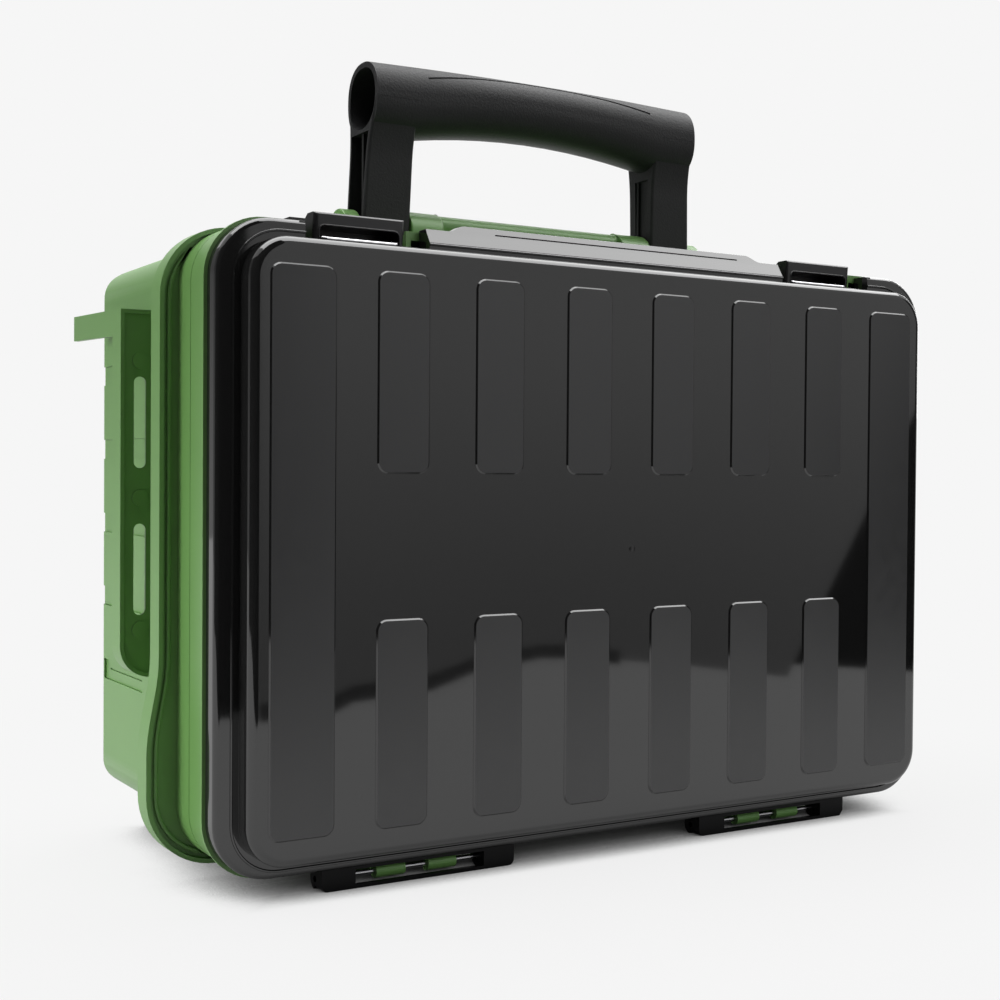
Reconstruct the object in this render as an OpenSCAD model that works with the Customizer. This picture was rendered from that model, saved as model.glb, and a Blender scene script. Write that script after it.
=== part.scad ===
// Two-section tackle case that stands on its hinge side: a deep rear tub, a shallow front tray and a lid.
// Front of the case faces -Y, +X is its right side, and Z = 0 is the floor.

/* [Outline] */
// Width of the lid, the tray and the mouth of the tub
case_w = 448; // [380:1:520]
// Height of the lid, the tray and the mouth of the tub
case_h = 308; // [260:1:360]
// Height of the lid's and the tray's underside above the floor
ground_gap = 11; // [10:0.5:16]
// Corner radius of the lid, the tray and the mouth of the tub, seen from the front
corner_r = 28; // [20:1:40]
// Wall thickness of the moulded shells
wall = 2.8; // [2:0.1:3.6]
// Gap at the two parting lines
part_gap = 0.5; // [0.3:0.1:1]

/* [Lid] */
// Depth of the lid's rim
rim_d = 11; // [8:0.5:16]
// Height of the raised field above the rim
field_raise = 12.5; // [6:0.5:16]
// Width of the rim beside the raised field
rim_side = 12; // [9:0.5:20]
// Width of the rim above the raised field
rim_top = 9.4; // [8:0.2:14]
// Width of the rim below the raised field
rim_bottom = 7.4; // [6:0.2:12]
// Corner radius of the raised field
field_r = 20; // [12:1:30]
// Radius of the raised field's front edge
field_edge_r = 4; // [2:0.5:6]
// Height of the pads above the raised field
pad_raise = 0.8; // [0.4:0.1:1.5]
// Width of each pad in the six columns
pad_w = 28; // [16:0.5:40]
// Distance between the columns of pads
pad_pitch = 53.7; // [45:0.1:58]
// Width of the full height pad at each end
end_pad_w = 33.2; // [20:0.2:40]
// Bare margin beside the end pads
pad_margin = 9.3; // [4:0.1:12]
// Bare margin above and below the pads
pad_margin_v = 12.9; // [6:0.1:20]
// Height of the upper row of pads
upper_pad_h = 96; // [60:1:110]
// Height of the lower row of pads
lower_pad_h = 100; // [60:1:110]
// Corner radius of the pads
pad_r = 5.5; // [2:0.5:9]
// Width of the bead that runs round the rim
rim_bead_w = 1.3; // [0.8:0.1:2.5]
// Distance of that bead from the raised field
rim_bead_gap = 3; // [2:0.2:4]
// Half width of the raised lip at the middle of the lid's top
lip_half_w = 91; // [60:1:95]
// Height of that lip above the rim
lip_rise = 5.8; // [4:0.2:8]
// Height of the lip's low ends above the rim
lip_end_rise = 2.3; // [1:0.1:3.5]
// Length of the ramp at each end of that lip
lip_ramp = 10; // [5:1:16]

/* [Tray] */
// Depth of the tray
tray_d = 21.2; // [18:0.2:40]
// Depth of the tray's proud front edge
edge_d = 2.5; // [1.5:0.1:4]
// How far the tray's front edge stands proud
edge_proud = 1.6; // [0.5:0.1:2]
// Number of rows of cells in the tray
rows = 3; // [2:1:4]
// Number of cells in each row
cells = 3; // [2:1:5]
// Thickness of the fixed partitions between the rows
partition_t = 2.2; // [1.6:0.1:3]
// Thickness of the loose dividers in the tray
divider_t = 1.8; // [1.2:0.1:3]
// Clearance at each end of a loose divider
divider_gap = 0.3; // [0.2:0.05:0.6]

/* [Tub] */
// Depth of the tub's mouth, in front of its flange
neck_d = 17.5; // [12:0.5:26]
// Depth of the flange
flange_d = 10; // [6:0.5:14]
// Depth of the tub behind its flange
body_d = 126; // [90:1:170]
// Distance from the side of the tub's mouth to the side of its body
body_in_x = 2; // [0.5:0.5:8]
// Distance from the top of the tub's mouth to the top of its body
body_in_top = 5; // [4:0.5:14]
// Distance from the underside of the tub's mouth to the underside of its body
body_in_bottom = 12; // [10:0.5:24]
// Corner radius of the tub's body, seen from the front
body_r = 22; // [16:1:34]
// Radius of the tub's rear edges
rear_r = 10; // [8:1:20]
// How far the flange stands out at the sides
flange_out = 10; // [6:0.5:14]
// How far the flange stands out at the top
flange_out_top = 1; // [0.5:0.5:4]
// How far the flange stands out at the bottom
flange_out_bottom = 1.5; // [0.5:0.5:4]
// Corner radius of the flange
flange_r = 35; // [32:1:44]
// How far the flange's lower corners flare out past its sides
flare_out = 6; // [2:0.5:10]
// Height above the floor where the flare starts
flare_top = 112; // [90:1:150]
// Height above the floor where the flare is full
flare_full = 64; // [50:1:85]
// Depth of the flange's forward lip
flange_lip_d = 3; // [1.5:0.5:6]
// Thickness of the flange's forward lip
flange_lip_t = 2.2; // [1.5:0.1:3.5]
// Number of grooves in each side wall, each with a place for a board behind it
groove_count = 4; // [3:1:5]
// Distance between the grooves
groove_pitch = 40.4; // [32:0.1:46]
// Distance from the top of the tub's body to the middle of the highest groove
groove_drop = 60.8; // [48:0.2:66]
// Height of each groove
groove_h = 10.5; // [6:0.5:14]
// Depth of each groove
groove_depth = 1.2; // [0.6:0.1:1.6]
// Thickness of the slide-in boards
board_t = 2.4; // [1.8:0.1:4]
// Clearance round a slide-in board
board_gap = 0.3; // [0.2:0.05:0.6]
// Reach of the ribs that hold the boards
board_rib = 4; // [2:0.5:7]
// Thickness of those ribs
board_rib_t = 2; // [1:0.1:3]
// Height of the slit panel under each side rail
panel_h = 11; // [6:0.5:16]
// Distance from the rail's front face to that panel
panel_back = 20; // [16:0.5:30]

/* [Side rails] */
// Height of a side rail's lower end above the floor
rail_bottom = 97; // [80:1:110]
// Distance from the top of the tub's body to a side rail's top
rail_drop = 32; // [20:1:40]
// Distance from the flange's rear face to the rail's front face
rail_back = 29; // [20:1:45]
// Depth of a side rail
rail_d = 14; // [10:0.5:22]
// How far a side rail stands out from the tub
rail_out = 18; // [15:0.5:24]
// Wall thickness of a side rail
rail_t = 2.5; // [2:0.1:4]
// Radius of a side rail's lower outer corner
rail_r = 16; // [8:0.5:18]
// Length of the arm at the top of a side rail
arm_l = 84; // [50:1:90]
// Height of that arm
arm_h = 13.2; // [8:0.2:20]
// Rise of that arm towards its end
arm_rise = 2.6; // [0:0.2:6]
// Width of the slots in a side rail
slot_w = 6.2; // [5:0.1:8]
// Length of the slots in a side rail
slot_l = 46; // [30:1:60]
// Distance from a side rail's top to the middle of its upper slot
slot_drop = 56.5; // [45:0.5:62]
// Distance between the middles of a side rail's slots
slot_pitch = 74; // [64:0.5:84]

/* [Feet] */
// Width of a rear foot
foot_w = 30; // [15:1:60]
// Depth of a rear foot
foot_d = 53.5; // [20:0.5:70]
// Distance from the tub's side to a rear foot
foot_in_x = 24; // [20:1:60]
// Distance from the tub's rear face to a rear foot
foot_in_y = 6.5; // [5:0.5:40]

/* [Hinges] */
// Distance from the side of the case to the middle of a hinge
hinge_in = 109.5; // [95:0.5:130]
// Width of a hinge leaf under the lid
leaf_w = 108; // [100:1:118]
// Width of the window in a hinge leaf
window_w = 72; // [66:1:80]
// Thickness of the bars that frame that window
window_bar = 1.8; // [1.2:0.1:2.4]
// Distance from the front of a hinge leaf to its pin
leaf_front = 8; // [6.5:0.5:9]
// Height of the hinge pins above the floor
pin_z = 5.2; // [5:0.1:5.4]
// Radius of the hinge pins
pin_r = 1.5; // [1:0.1:2]
// Length of the hinge pins past the window at each end
pin_hold = 12; // [6:0.5:16]
// Radius of the hinge knuckles
knuckle_r = 3.7; // [3.2:0.1:4.2]
// Width of each hinge knuckle
knuckle_w = 16; // [10:0.5:20]
// Distance between a hinge's two knuckles
knuckle_pitch = 29; // [22:0.5:36]
// Width of the tub's knuckle in each tray hinge
tub_knuckle_w = 38; // [20:1:50]
// Width of the tray's two knuckles in each tray hinge
tray_knuckle_w = 10; // [6:0.5:16]
// Depth of the root that joins the tub's knuckle to the tub
knuckle_root = 9; // [6:0.5:14]
// Running clearance of every pin
run_gap = 0.05; // [0.02:0.01:0.1]

/* [Latches] */
// Distance from the side of the case to the middle of a latch notch
latch_in = 77; // [66:0.5:86]
// How far each latch sits to the left of the middle of its notch
latch_shift = 4; // [0:0.5:4.5]
// Width of a latch lever
lever_w = 48; // [30:0.5:50]
// Length of a lid latch's lever from its front to its pivot
lever_l = 21.3; // [18:0.1:24]
// Height of a lid latch's lever
lever_h = 13; // [9:0.5:15]
// Depth of the raised front of a lid latch's lever
lever_front_d = 9; // [6:0.5:10]
// Height of a lid latch's lever behind its raised front
lever_rear_h = 11; // [9:0.5:11.5]
// Width of the notch in the lid at each latch
notch_w = 66; // [64:1:70]
// Depth of the notch in the lid below its top
notch_drop = 9.1; // [7:0.1:9.3]
// Wall thickness at the sides of a lever's pocket
lever_side = 2.8; // [2.4:0.1:4]
// Height of a lever's pocket
pocket_h = 6.5; // [5:0.1:8]
// Depth of a lever's pocket
pocket_d = 15; // [13:0.5:16]
// Radius of the latch pivot pins
latch_pin_r = 1.25; // [0.9:0.05:1.5]
// Thickness of the ears that hold the latch pins
ear_t = 3; // [2:0.2:4]
// Radius of the ears that hold the lid latches' pins
lid_ear_r = 4; // [3:0.1:4.4]
// Radius of the ears that hold the tray latches' pins
tray_ear_r = 2.9; // [2.4:0.1:3.4]
// Clearance beside and under each lever
lever_gap = 0.4; // [0.3:0.05:0.6]
// Thickness of the tray's wall behind a lid latch, which the tray latch lies over
hook_wall = 2.2; // [1.6:0.1:3]
// Radius of the bail wire
wire_r = 1.1; // [0.8:0.05:1.3]
// Distance from a bail's front wire to its pivot
bail_l = 8.8; // [7:0.2:10]
// Height from a bail's front wire to its pivot
bail_h = 3.1; // [2.4:0.1:3.6]
// Length of a tray latch's lever
tray_lever_l = 22; // [18:0.5:24]
// Height of a tray latch's lever
tray_lever_h = 6; // [5:0.5:9]

/* [Handle] */
// Distance between the outer sides of the handle's legs
handle_w = 221; // [180:1:240]
// Width of each leg
leg_w = 28.5; // [20:0.5:34]
// Depth of each leg
leg_d = 22; // [16:0.5:26]
// Height of the handle's pivot above the tub's body
pivot_rise = 19; // [17:0.5:26]
// Distance from the flange's rear face to the handle's pivot
pivot_back = 32; // [30:1:45]
// Height of the grip's middle above the pivot
grip_rise = 71.5; // [60:0.5:90]
// Distance of the grip's middle in front of the pivot
grip_front = 2.5; // [0:0.5:12]
// Depth of the grip
grip_d = 36.5; // [26:0.5:38]
// Height of the grip
grip_h = 41; // [36:0.5:44]
// Edge radius of the grip
grip_r = 17; // [10:0.5:18]
// Wall thickness of the hollow grip and legs
grip_wall = 3; // [2:0.1:4]
// Rise of the grip's underside between the legs
grip_arch = 7.5; // [2:0.5:8]
// How far each end of the grip stands in from the outer side of its leg's foot
grip_end_in = 3.5; // [0:0.5:5]
// How far a leg's inner side leans in on its way up to the grip
leg_lean_in = 1.5; // [0:0.5:3]
// How far a leg's front leans forward on its way up to the grip
leg_lean = 3.5; // [0:0.5:6]
// Depth of the wide bore at each end of the grip
grip_bore_l = 30; // [16:1:34]
// Height of the narrow bore between those two
grip_core_h = 18; // [8:1:20]
// Depth of the narrow bore
grip_core_d = 20; // [8:1:24]
// Radius of the leg's rounded lower end
leg_end_r = 11; // [9:0.5:12]
// Radius of the hub round the handle's pin
hub_r = 7; // [5:0.5:8]
// Radius of the handle's pins
handle_pin_r = 3; // [2:0.1:4]
// Gap between the handle's legs and the ears that carry them
handle_gap = 0.6; // [0.3:0.1:1.5]
// Radius of the inner ears
handle_ear_r = 12.5; // [11.5:0.1:14]
// Radius of the outer ears
outer_ear_r = 10.5; // [8:0.5:12]
// Width of each inner ear
inner_ear_w = 20.5; // [10:0.5:30]
// Width of each outer ear
outer_ear_w = 9.5; // [6:0.5:14]
// Radius of the bar between the inner ears
bar_r = 6; // [4:0.5:8]
// Height of that bar's middle above the pivot
bar_rise = 6; // [2:0.5:6]
// Thickness of the web under that bar
bar_web = 8; // [4:0.5:12]
// Thickness of the mount's base plate
base_t = 3; // [2:0.5:5]
// Depth of the mount's base plate
base_d = 30; // [26:1:40]
// Length of the base plate past each outer ear
base_end = 4; // [1:0.5:10]

/* [Hidden] */

$fn = 64;
eps = 0.01;

green = [0.40, 0.53, 0.32];
dark_green = [0.16, 0.25, 0.13];
black = [0.12, 0.12, 0.13];
smoke = [0.20, 0.20, 0.21];
steel = [0.75, 0.75, 0.76];

// Depths, from the front of the pads to the tub's rear face
lid_d = pad_raise + field_raise + rim_d;
depth = lid_d + part_gap + tray_d + part_gap + neck_d + flange_d + body_d;
lid_y0 = -depth / 2;
field_y = lid_y0 + pad_raise;
rim_y = field_y + field_raise;
lid_y1 = rim_y + rim_d;
tray_y0 = lid_y1 + part_gap;
tray_y1 = tray_y0 + tray_d;
neck_y = tray_y1 + part_gap;
flange_y = neck_y + neck_d;
body_y = flange_y + flange_d;
rear_y = body_y + body_d;

// Heights
top_z = ground_gap + case_h;
mid_z = ground_gap + case_h / 2;

// Raised field and its pads
field_w = case_w - 2 * rim_side;
field_h = case_h - rim_top - rim_bottom;
field_mid = ground_gap + rim_bottom + field_h / 2;
pad_top = field_mid + field_h / 2 - pad_margin_v;
pad_bottom = field_mid - field_h / 2 + pad_margin_v;
end_pad_x = field_w / 2 - pad_margin - end_pad_w / 2;

// Tub body
body_w = case_w - 2 * body_in_x;
body_z0 = ground_gap + body_in_bottom;
body_z1 = top_z - body_in_top;
body_h = body_z1 - body_z0;
body_mid = (body_z0 + body_z1) / 2;

// Flange
flange_w = case_w + 2 * flange_out;
flange_z0 = ground_gap - flange_out_bottom;
flange_z1 = top_z + flange_out_top;
flare_w = flange_w + 2 * flare_out;
flare_steps = 10;

// Latches: the notch floor, and the lid lever that lies above it
latch_x = case_w / 2 - latch_in;
notch_z = top_z - notch_drop;
recess_w = lever_w + 2 * (lever_gap + ear_t) + 5;
wire_z = notch_z + wire_r + lever_gap;
wire_y = rim_y + wire_r - 0.2;
bail_y = wire_y + bail_l;
bail_z = wire_z + bail_h;
lever_y = wire_y + wire_r - 0.1;
lever_z = wire_z - lever_gap;
lever_pivot_y = lever_y + lever_l;
lever_pivot_z = lever_z + lid_ear_r + 0.2;
lever_end_r = lid_ear_r + 1;
bail_in = lever_side + 0.3 + wire_r;
tray_lever_y = tray_y1 - hook_wall + 0.2;
tray_lever_z = top_z + lever_gap;
tray_pivot_y = tray_lever_y + tray_lever_l;
tray_lever_r = tray_lever_h / 2 - 0.6;
tray_pivot_z = tray_lever_z + tray_lever_r + 0.2;

// Hinges
hinge_x = case_w / 2 - hinge_in;
lid_pin_y = lid_y1 + part_gap;
tray_pin_y = tray_y1 + part_gap / 2;
leaf_r = pin_z;

// Handle
pivot_y = body_y + pivot_back;
pivot_z = body_z1 + pivot_rise;
grip_y = pivot_y - grip_front;
grip_z = pivot_z + grip_rise;
leg_x = handle_w / 2 - leg_w / 2;
inner_ear_x = handle_w / 2 - leg_w - handle_gap - inner_ear_w;
outer_ear_x = handle_w / 2 + handle_gap;

// Side rails
rail_y = body_y + rail_back;
rail_top = body_z1 - rail_drop;
rail_x0 = body_w / 2;
rail_x1 = rail_x0 + rail_out;

// Loose boards in the tub and cells in the tray
cell_h = (case_h - 2 * wall - (rows - 1) * partition_t) / rows;
cell_w = (case_w - 2 * wall - (cells - 1) * divider_t) / cells;
tray_floor_y = tray_y1 - wall;

// Rounded rectangle, seen from the front
module rrect(w, h, r) {
    square([w - 2 * r, h], center = true);
    square([w, h - 2 * r], center = true);
    for (x = [-1, 1], y = [-1, 1]) translate([x * (w / 2 - r), y * (h / 2 - r)]) circle(r);
}

// Extrudes a front view from y0 to y1
module from_front(y0, y1) {
    translate([0, y1, 0]) rotate([90, 0, 0]) linear_extrude(y1 - y0) children();
}

// Rounded slab in the plane of the lid
module slab(w, h, r, y0, y1, z) {
    from_front(y0, y1) translate([0, z]) rrect(w, h, r);
}

// Box given by its low corner and its high corner
module block(a, b) {
    translate(a) cube([b[0] - a[0], b[1] - a[1], b[2] - a[2]]);
}

// Rod along X from x0 to x1
module rod(x0, x1, y, z, r) {
    translate([x0, y, z]) rotate([0, 90, 0]) cylinder(h = x1 - x0, r = r);
}

// Mirrored pair about the middle of the case
module both() {
    children();
    mirror([1, 0, 0]) children();
}

// Copy at each latch
module latches() {
    for (x = [-latch_x, latch_x]) translate([x - latch_shift, 0, 0]) children();
}

// Rectangle from y0 to y1 with its two far corners rounded
module far_rounded(w, y0, y1, r) {
    translate([-w / 2, y0]) square([w, y1 - y0 - r]);
    translate([-w / 2 + r, y0]) square([w - 2 * r, y1 - y0]);
    for (x = [-1, 1]) translate([x * (w / 2 - r), y1 - r]) circle(r);
}

// Slab whose edges at y1 are rounded too
module rounded_slab(w, h, r, edge, y0, y1, z) {
    intersection() {
        slab(w, h, r, y0, y1, z);
        translate([0, 0, z - h / 2 - 1]) linear_extrude(h + 2) far_rounded(w, y0, y1, edge);
        translate([-w / 2 - 1, 0, z]) rotate([90, 0, 90]) linear_extrude(w + 2)
            mirror([1, -1, 0]) far_rounded(h, y0, y1, edge);
    }
}

// Raised field with a rounded front edge, as a slab turned to face the front
module field(w, h, r, edge, y0, y1) {
    mirror([0, 1, 0]) rounded_slab(w, h, r, edge, -y1, -y0, field_mid);
}

// Share of the flare at step i, as a smooth S from 0 to 1
function flare_share(i) = (1 - cos(180 * i / flare_steps)) / 2;

// Flange outline, drawn in by d
module flange_outline(d) {
    r = flange_r - d;
    hw = flange_w / 2 - d;
    fw = flare_w / 2 - d;
    foot_z = flange_z0 + flange_r;
    translate([0, (flange_z0 + flange_z1) / 2]) rrect(2 * hw, flange_z1 - flange_z0 - 2 * d, r);
    for (s = [-1, 1]) {
        polygon(concat([[0, flare_top]],
                       [for (i = [0 : flare_steps]) [s * (hw + flare_out * flare_share(i)),
                            flare_top + (flare_full - flare_top) * i / flare_steps]],
                       [[s * fw, foot_z], [0, foot_z]]));
        translate([s * (fw - r), foot_z]) circle(r);
    }
    translate([-(fw - r), flange_z0 + d]) square([2 * (fw - r), flange_r]);
}

module tub_shell() {
    color(green) difference() {
        union() {
            slab(case_w, case_h, corner_r, neck_y, flange_y + eps, mid_z);
            from_front(flange_y, body_y) flange_outline(0);
            from_front(flange_y - flange_lip_d, flange_y) difference() {
                flange_outline(0);
                flange_outline(flange_lip_t);
            }
            tub_body();
            both() translate([hinge_x, 0, 0]) tub_knuckle();
        }
        // Space inside the mouth, and inside the body
        slab(case_w - 2 * wall, case_h - 2 * wall, corner_r - wall, neck_y - 1, flange_y - wall, mid_z);
        rounded_slab(body_w - 2 * wall, body_h - 2 * wall, body_r - wall, rear_r - wall,
                     flange_y - wall - 1, rear_y - wall, body_mid);
        tub_grooves();
        // Flat seat for each tray latch across the flange
        latches() block([-recess_w / 2, flange_y - flange_lip_d - 1, top_z],
                        [recess_w / 2, body_y + 1, flange_z1 + 1]);
        both() rod(hinge_x - leaf_w / 2, hinge_x + leaf_w / 2, tray_pin_y, pin_z, pin_r);
    }
    color(green) both() board_ribs();
    color(green) latches() pin_ears(tray_pivot_y, tray_pivot_z, top_z - eps, tray_ear_r);
}

// Height of the middle of groove i, counted from the top
function groove_z(i) = body_z1 - groove_drop - i * groove_pitch;

// Shallow grooves in the outside of the side walls, and the slit panel below them
module tub_grooves() {
    x0 = body_w / 2 - groove_depth;
    for (i = [0 : groove_count - 1]) both()
        block([x0, rail_y + rail_d, groove_z(i) - groove_h / 2],
              [body_w / 2 + 1, rear_y + 1, groove_z(i) + groove_h / 2]);
    both() block([x0, rail_y + panel_back, rail_bottom - panel_h],
                 [body_w / 2 + 1, rear_y - rear_r, rail_bottom]);
}

// Pairs of ribs inside the tub that a board slides between
module board_ribs() {
    x1 = body_w / 2 - wall + eps;
    for (i = [0 : groove_count - 1], s = [-1, 1]) {
        z = groove_z(i) + s * (board_t + board_rib_t + 2 * board_gap) / 2;
        block([x1 - board_rib, body_y, z - board_rib_t / 2], [x1, rear_y - rear_r, z + board_rib_t / 2]);
    }
}

// Bored ears that hold a latch pin, standing on the surface at height z0
module pin_ears(y, z, z0, r) {
    for (s = [-1, 1]) translate([s * (lever_w / 2 + lever_gap + ear_t / 2) - ear_t / 2, 0, 0]) difference() {
        union() {
            rod(0, ear_t, y, z, r);
            block([0, y - r, z0], [ear_t, y + r, z]);
        }
        rod(-1, ear_t + 1, y, z, latch_pin_r);
    }
}

// Knuckle of the tub between the tray's two, in each tray hinge
module tub_knuckle() {
    w = tub_knuckle_w / 2;
    rod(-w, w, tray_pin_y, pin_z, knuckle_r);
    block([-w, neck_y, pin_z - knuckle_r + 1], [w, neck_y + knuckle_root, ground_gap + wall / 2]);
}

module handle_mount() {
    z0 = body_z1;
    base_x = outer_ear_x + outer_ear_w + base_end;
    bar_x = inner_ear_x + 1;
    color(green) difference() {
        union() {
            block([-base_x, pivot_y - base_d / 2, z0], [base_x, pivot_y + base_d / 2, z0 + base_t]);
            rod(-bar_x, bar_x, pivot_y, pivot_z + bar_rise, bar_r);
            block([-bar_x, pivot_y - bar_web / 2, z0 + eps],
                  [bar_x, pivot_y + bar_web / 2, pivot_z + bar_rise]);
            both() handle_ear(inner_ear_x, inner_ear_w, handle_ear_r, z0);
            both() handle_ear(outer_ear_x, outer_ear_w, outer_ear_r, z0);
        }
        both() rod(inner_ear_x + inner_ear_w / 2, outer_ear_x + outer_ear_w + 1,
                   pivot_y, pivot_z, handle_pin_r);
    }
}

module handle_ear(x, w, r, z0) {
    rod(x, x + w, pivot_y, pivot_z, r);
    block([x, pivot_y - r, z0 + eps], [x + w, pivot_y + r, pivot_z]);
}

module handle_pins() {
    color(steel) both()
        rod(inner_ear_x + inner_ear_w / 2, outer_ear_x + outer_ear_w, pivot_y, pivot_z, handle_pin_r);
}

// Outline of a side rail from the front, drawn in by d on its three free sides
module rail_outline(d) {
    r = rail_r - d;
    translate([rail_x0, rail_bottom + rail_r]) square([rail_out - d, rail_top - rail_bottom - rail_r - d]);
    translate([rail_x0, rail_bottom + d]) square([rail_out - rail_r, rail_r]);
    translate([rail_x1 - rail_r, rail_bottom + rail_r]) intersection() {
        circle(r);
        translate([-(rail_out - rail_r) - eps, -r]) square([rail_out, r]);
    }
}

module slot_2d() {
    translate([0, -(slot_l - slot_w) / 2]) circle(slot_w / 2);
    translate([0, (slot_l - slot_w) / 2]) circle(slot_w / 2);
    square([slot_w, slot_l - slot_w], center = true);
}

module side_rail() {
    slot_x = rail_x0 + (rail_out - rail_t) / 2;
    difference() {
        union() {
            difference() {
                from_front(rail_y, rail_y + rail_d) rail_outline(0);
                from_front(rail_y + rail_t, rail_y + rail_d + 1) rail_outline(rail_t);
            }
            // Arm that runs back from the top
            translate([rail_x1 - rail_t, 0, 0]) rotate([90, 0, 90]) linear_extrude(rail_t)
                polygon([[rail_y, rail_top - arm_h], [rail_y + arm_l, rail_top - arm_h + arm_rise],
                         [rail_y + arm_l, rail_top + arm_rise], [rail_y, rail_top]]);
        }
        for (z = [rail_top - slot_drop, rail_top - slot_drop - slot_pitch])
            from_front(rail_y - 1, rail_y + rail_t + 1) translate([slot_x, z]) slot_2d();
    }
}

module side_rail_right() { color(green) side_rail(); }
module side_rail_left() { color(green) mirror([1, 0, 0]) side_rail(); }

// The outside of the tub behind its flange
module tub_body() {
    rounded_slab(body_w, body_h, body_r, rear_r, flange_y, rear_y, body_mid);
}

module rear_feet() {
    x1 = body_w / 2 - foot_in_x;
    y1 = rear_y - foot_in_y;
    color(dark_green) both() difference() {
        block([x1 - foot_w, y1 - foot_d, 0], [x1, y1, body_z0 + rear_r]);
        tub_body();
    }
}

// Two loose boards, in the lowest pair of ribs and the next but one
module tub_boards() {
    x1 = body_w / 2 - wall - board_gap;
    color(black) for (i = [groove_count - 1, groove_count - 3])
        block([-x1, body_y + 1, groove_z(i) - board_t / 2], [x1, rear_y - rear_r, groove_z(i) + board_t / 2]);
}

module tray_hinge_pins() {
    w = tub_knuckle_w / 2 + part_gap + tray_knuckle_w;
    color(steel) both() rod(hinge_x - w, hinge_x + w, tray_pin_y, pin_z, pin_r);
}

module latch_pin(y, z) {
    w = lever_w / 2 + lever_gap + ear_t;
    rod(-w, w, y, z, latch_pin_r);
}

module tray_latch_pins() { color(steel) latches() latch_pin(tray_pivot_y, tray_pivot_z); }
module lid_latch_pins() { color(steel) latches() latch_pin(lever_pivot_y, lever_pivot_z); }

module tray_frame() {
    color(green) difference() {
        union() {
            difference() {
                union() {
                    slab(case_w, case_h, corner_r, tray_y0, tray_y1, mid_z);
                    difference() {
                        slab(case_w + 2 * edge_proud, case_h + 2 * edge_proud, corner_r + edge_proud,
                             tray_y0, tray_y0 + edge_d, mid_z);
                        // Clear of the hinge leaves as they turn
                        both() block([hinge_x - leaf_w / 2 - 1, tray_y0 - 1, 0],
                                     [hinge_x + leaf_w / 2 + 1, tray_y1, ground_gap]);
                    }
                }
                slab(case_w - 2 * wall, case_h - 2 * wall, corner_r - wall, tray_y0 - 1, tray_floor_y, mid_z);
            }
            // Fixed partitions between the rows
            for (i = [1 : rows - 1])
                block([-case_w / 2 + wall / 2, tray_y0 + 1, partition_z(i)],
                      [case_w / 2 - wall / 2, tray_floor_y + eps, partition_z(i) + partition_t]);
            // Solid round each latch recess
            latches() block([-recess_w / 2 - wall, tray_y0, notch_z - wall],
                            [recess_w / 2 + wall, tray_y1 - eps, top_z]);
            both() translate([hinge_x, 0, 0]) lid_knuckles();
            both() translate([hinge_x, 0, 0]) tray_knuckles();
        }
        latches() block([-recess_w / 2, tray_y0 - 1, notch_z - part_gap],
                        [recess_w / 2, tray_y1 - hook_wall, top_z + edge_proud + 1]);
        both() rod(hinge_x - leaf_w / 2, hinge_x + leaf_w / 2, lid_pin_y, pin_z, pin_r);
        both() rod(hinge_x - leaf_w / 2, hinge_x + leaf_w / 2, tray_pin_y, pin_z, pin_r + run_gap);
    }
    color(green) latches() pin_ears(lever_pivot_y, lever_pivot_z, notch_z - part_gap - eps, lid_ear_r);
}

// Height of the underside of the partition above row i
function partition_z(i) = ground_gap + wall + i * cell_h + (i - 1) * partition_t;

// The tray's knuckles for the lid, which show in the window of a hinge leaf
module lid_knuckles() {
    for (s = [-1, 1]) translate([s * knuckle_pitch / 2 - knuckle_w / 2, 0, 0]) {
        rod(0, knuckle_w, lid_pin_y, pin_z, knuckle_r);
        block([0, lid_pin_y + 0.2, pin_z], [knuckle_w, lid_pin_y + knuckle_r, ground_gap + wall / 2]);
    }
}

// The tray's knuckles for the tub
module tray_knuckles() {
    for (s = [-1, 1]) {
        x = s * (tub_knuckle_w / 2 + part_gap + tray_knuckle_w / 2);
        translate([x - tray_knuckle_w / 2, 0, 0]) {
            rod(0, tray_knuckle_w, tray_pin_y, pin_z, knuckle_r);
            block([0, tray_y1 - 7, pin_z - knuckle_r + 1], [tray_knuckle_w, tray_y1, ground_gap + wall / 2]);
        }
    }
}

module tray_dividers() {
    color(black) for (i = [0 : rows - 1], j = [1 : cells - 1]) {
        x = -case_w / 2 + wall + j * cell_w + (j - 1) * divider_t;
        z = ground_gap + wall + i * (cell_h + partition_t);
        block([x, tray_y0 + 1, z + divider_gap], [x + divider_t, tray_floor_y, z + cell_h - divider_gap]);
    }
}

module lid_hinge_pins() {
    w = window_w / 2 + pin_hold;
    color(steel) both() rod(hinge_x - w, hinge_x + w, lid_pin_y, pin_z, pin_r);
}

// One pad of the lid, given its middle, its lower edge and its size
module pad(x, z, w, h) {
    from_front(lid_y0, field_y + eps) translate([x, z + h / 2]) rrect(w, h, pad_r);
}

module lid_pads() {
    for (i = [0 : 5]) {
        x = (i - 2.5) * pad_pitch;
        pad(x, pad_bottom, pad_w, lower_pad_h);
        pad(x, pad_top - upper_pad_h, pad_w, upper_pad_h);
    }
    for (s = [-1, 1]) pad(s * end_pad_x, pad_bottom, end_pad_w, pad_top - pad_bottom);
}

// The lip from the front, up to the middle of the notch at each side
module lip_outline() {
    low = top_z + lip_end_rise;
    points = [[latch_x, top_z - wall], [latch_x, low],
              [lip_half_w + lip_ramp, low], [lip_half_w, top_z + lip_rise]];
    polygon(concat(points, [for (i = [3 : -1 : 0]) [-points[i][0], points[i][1]]]));
}

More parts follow.
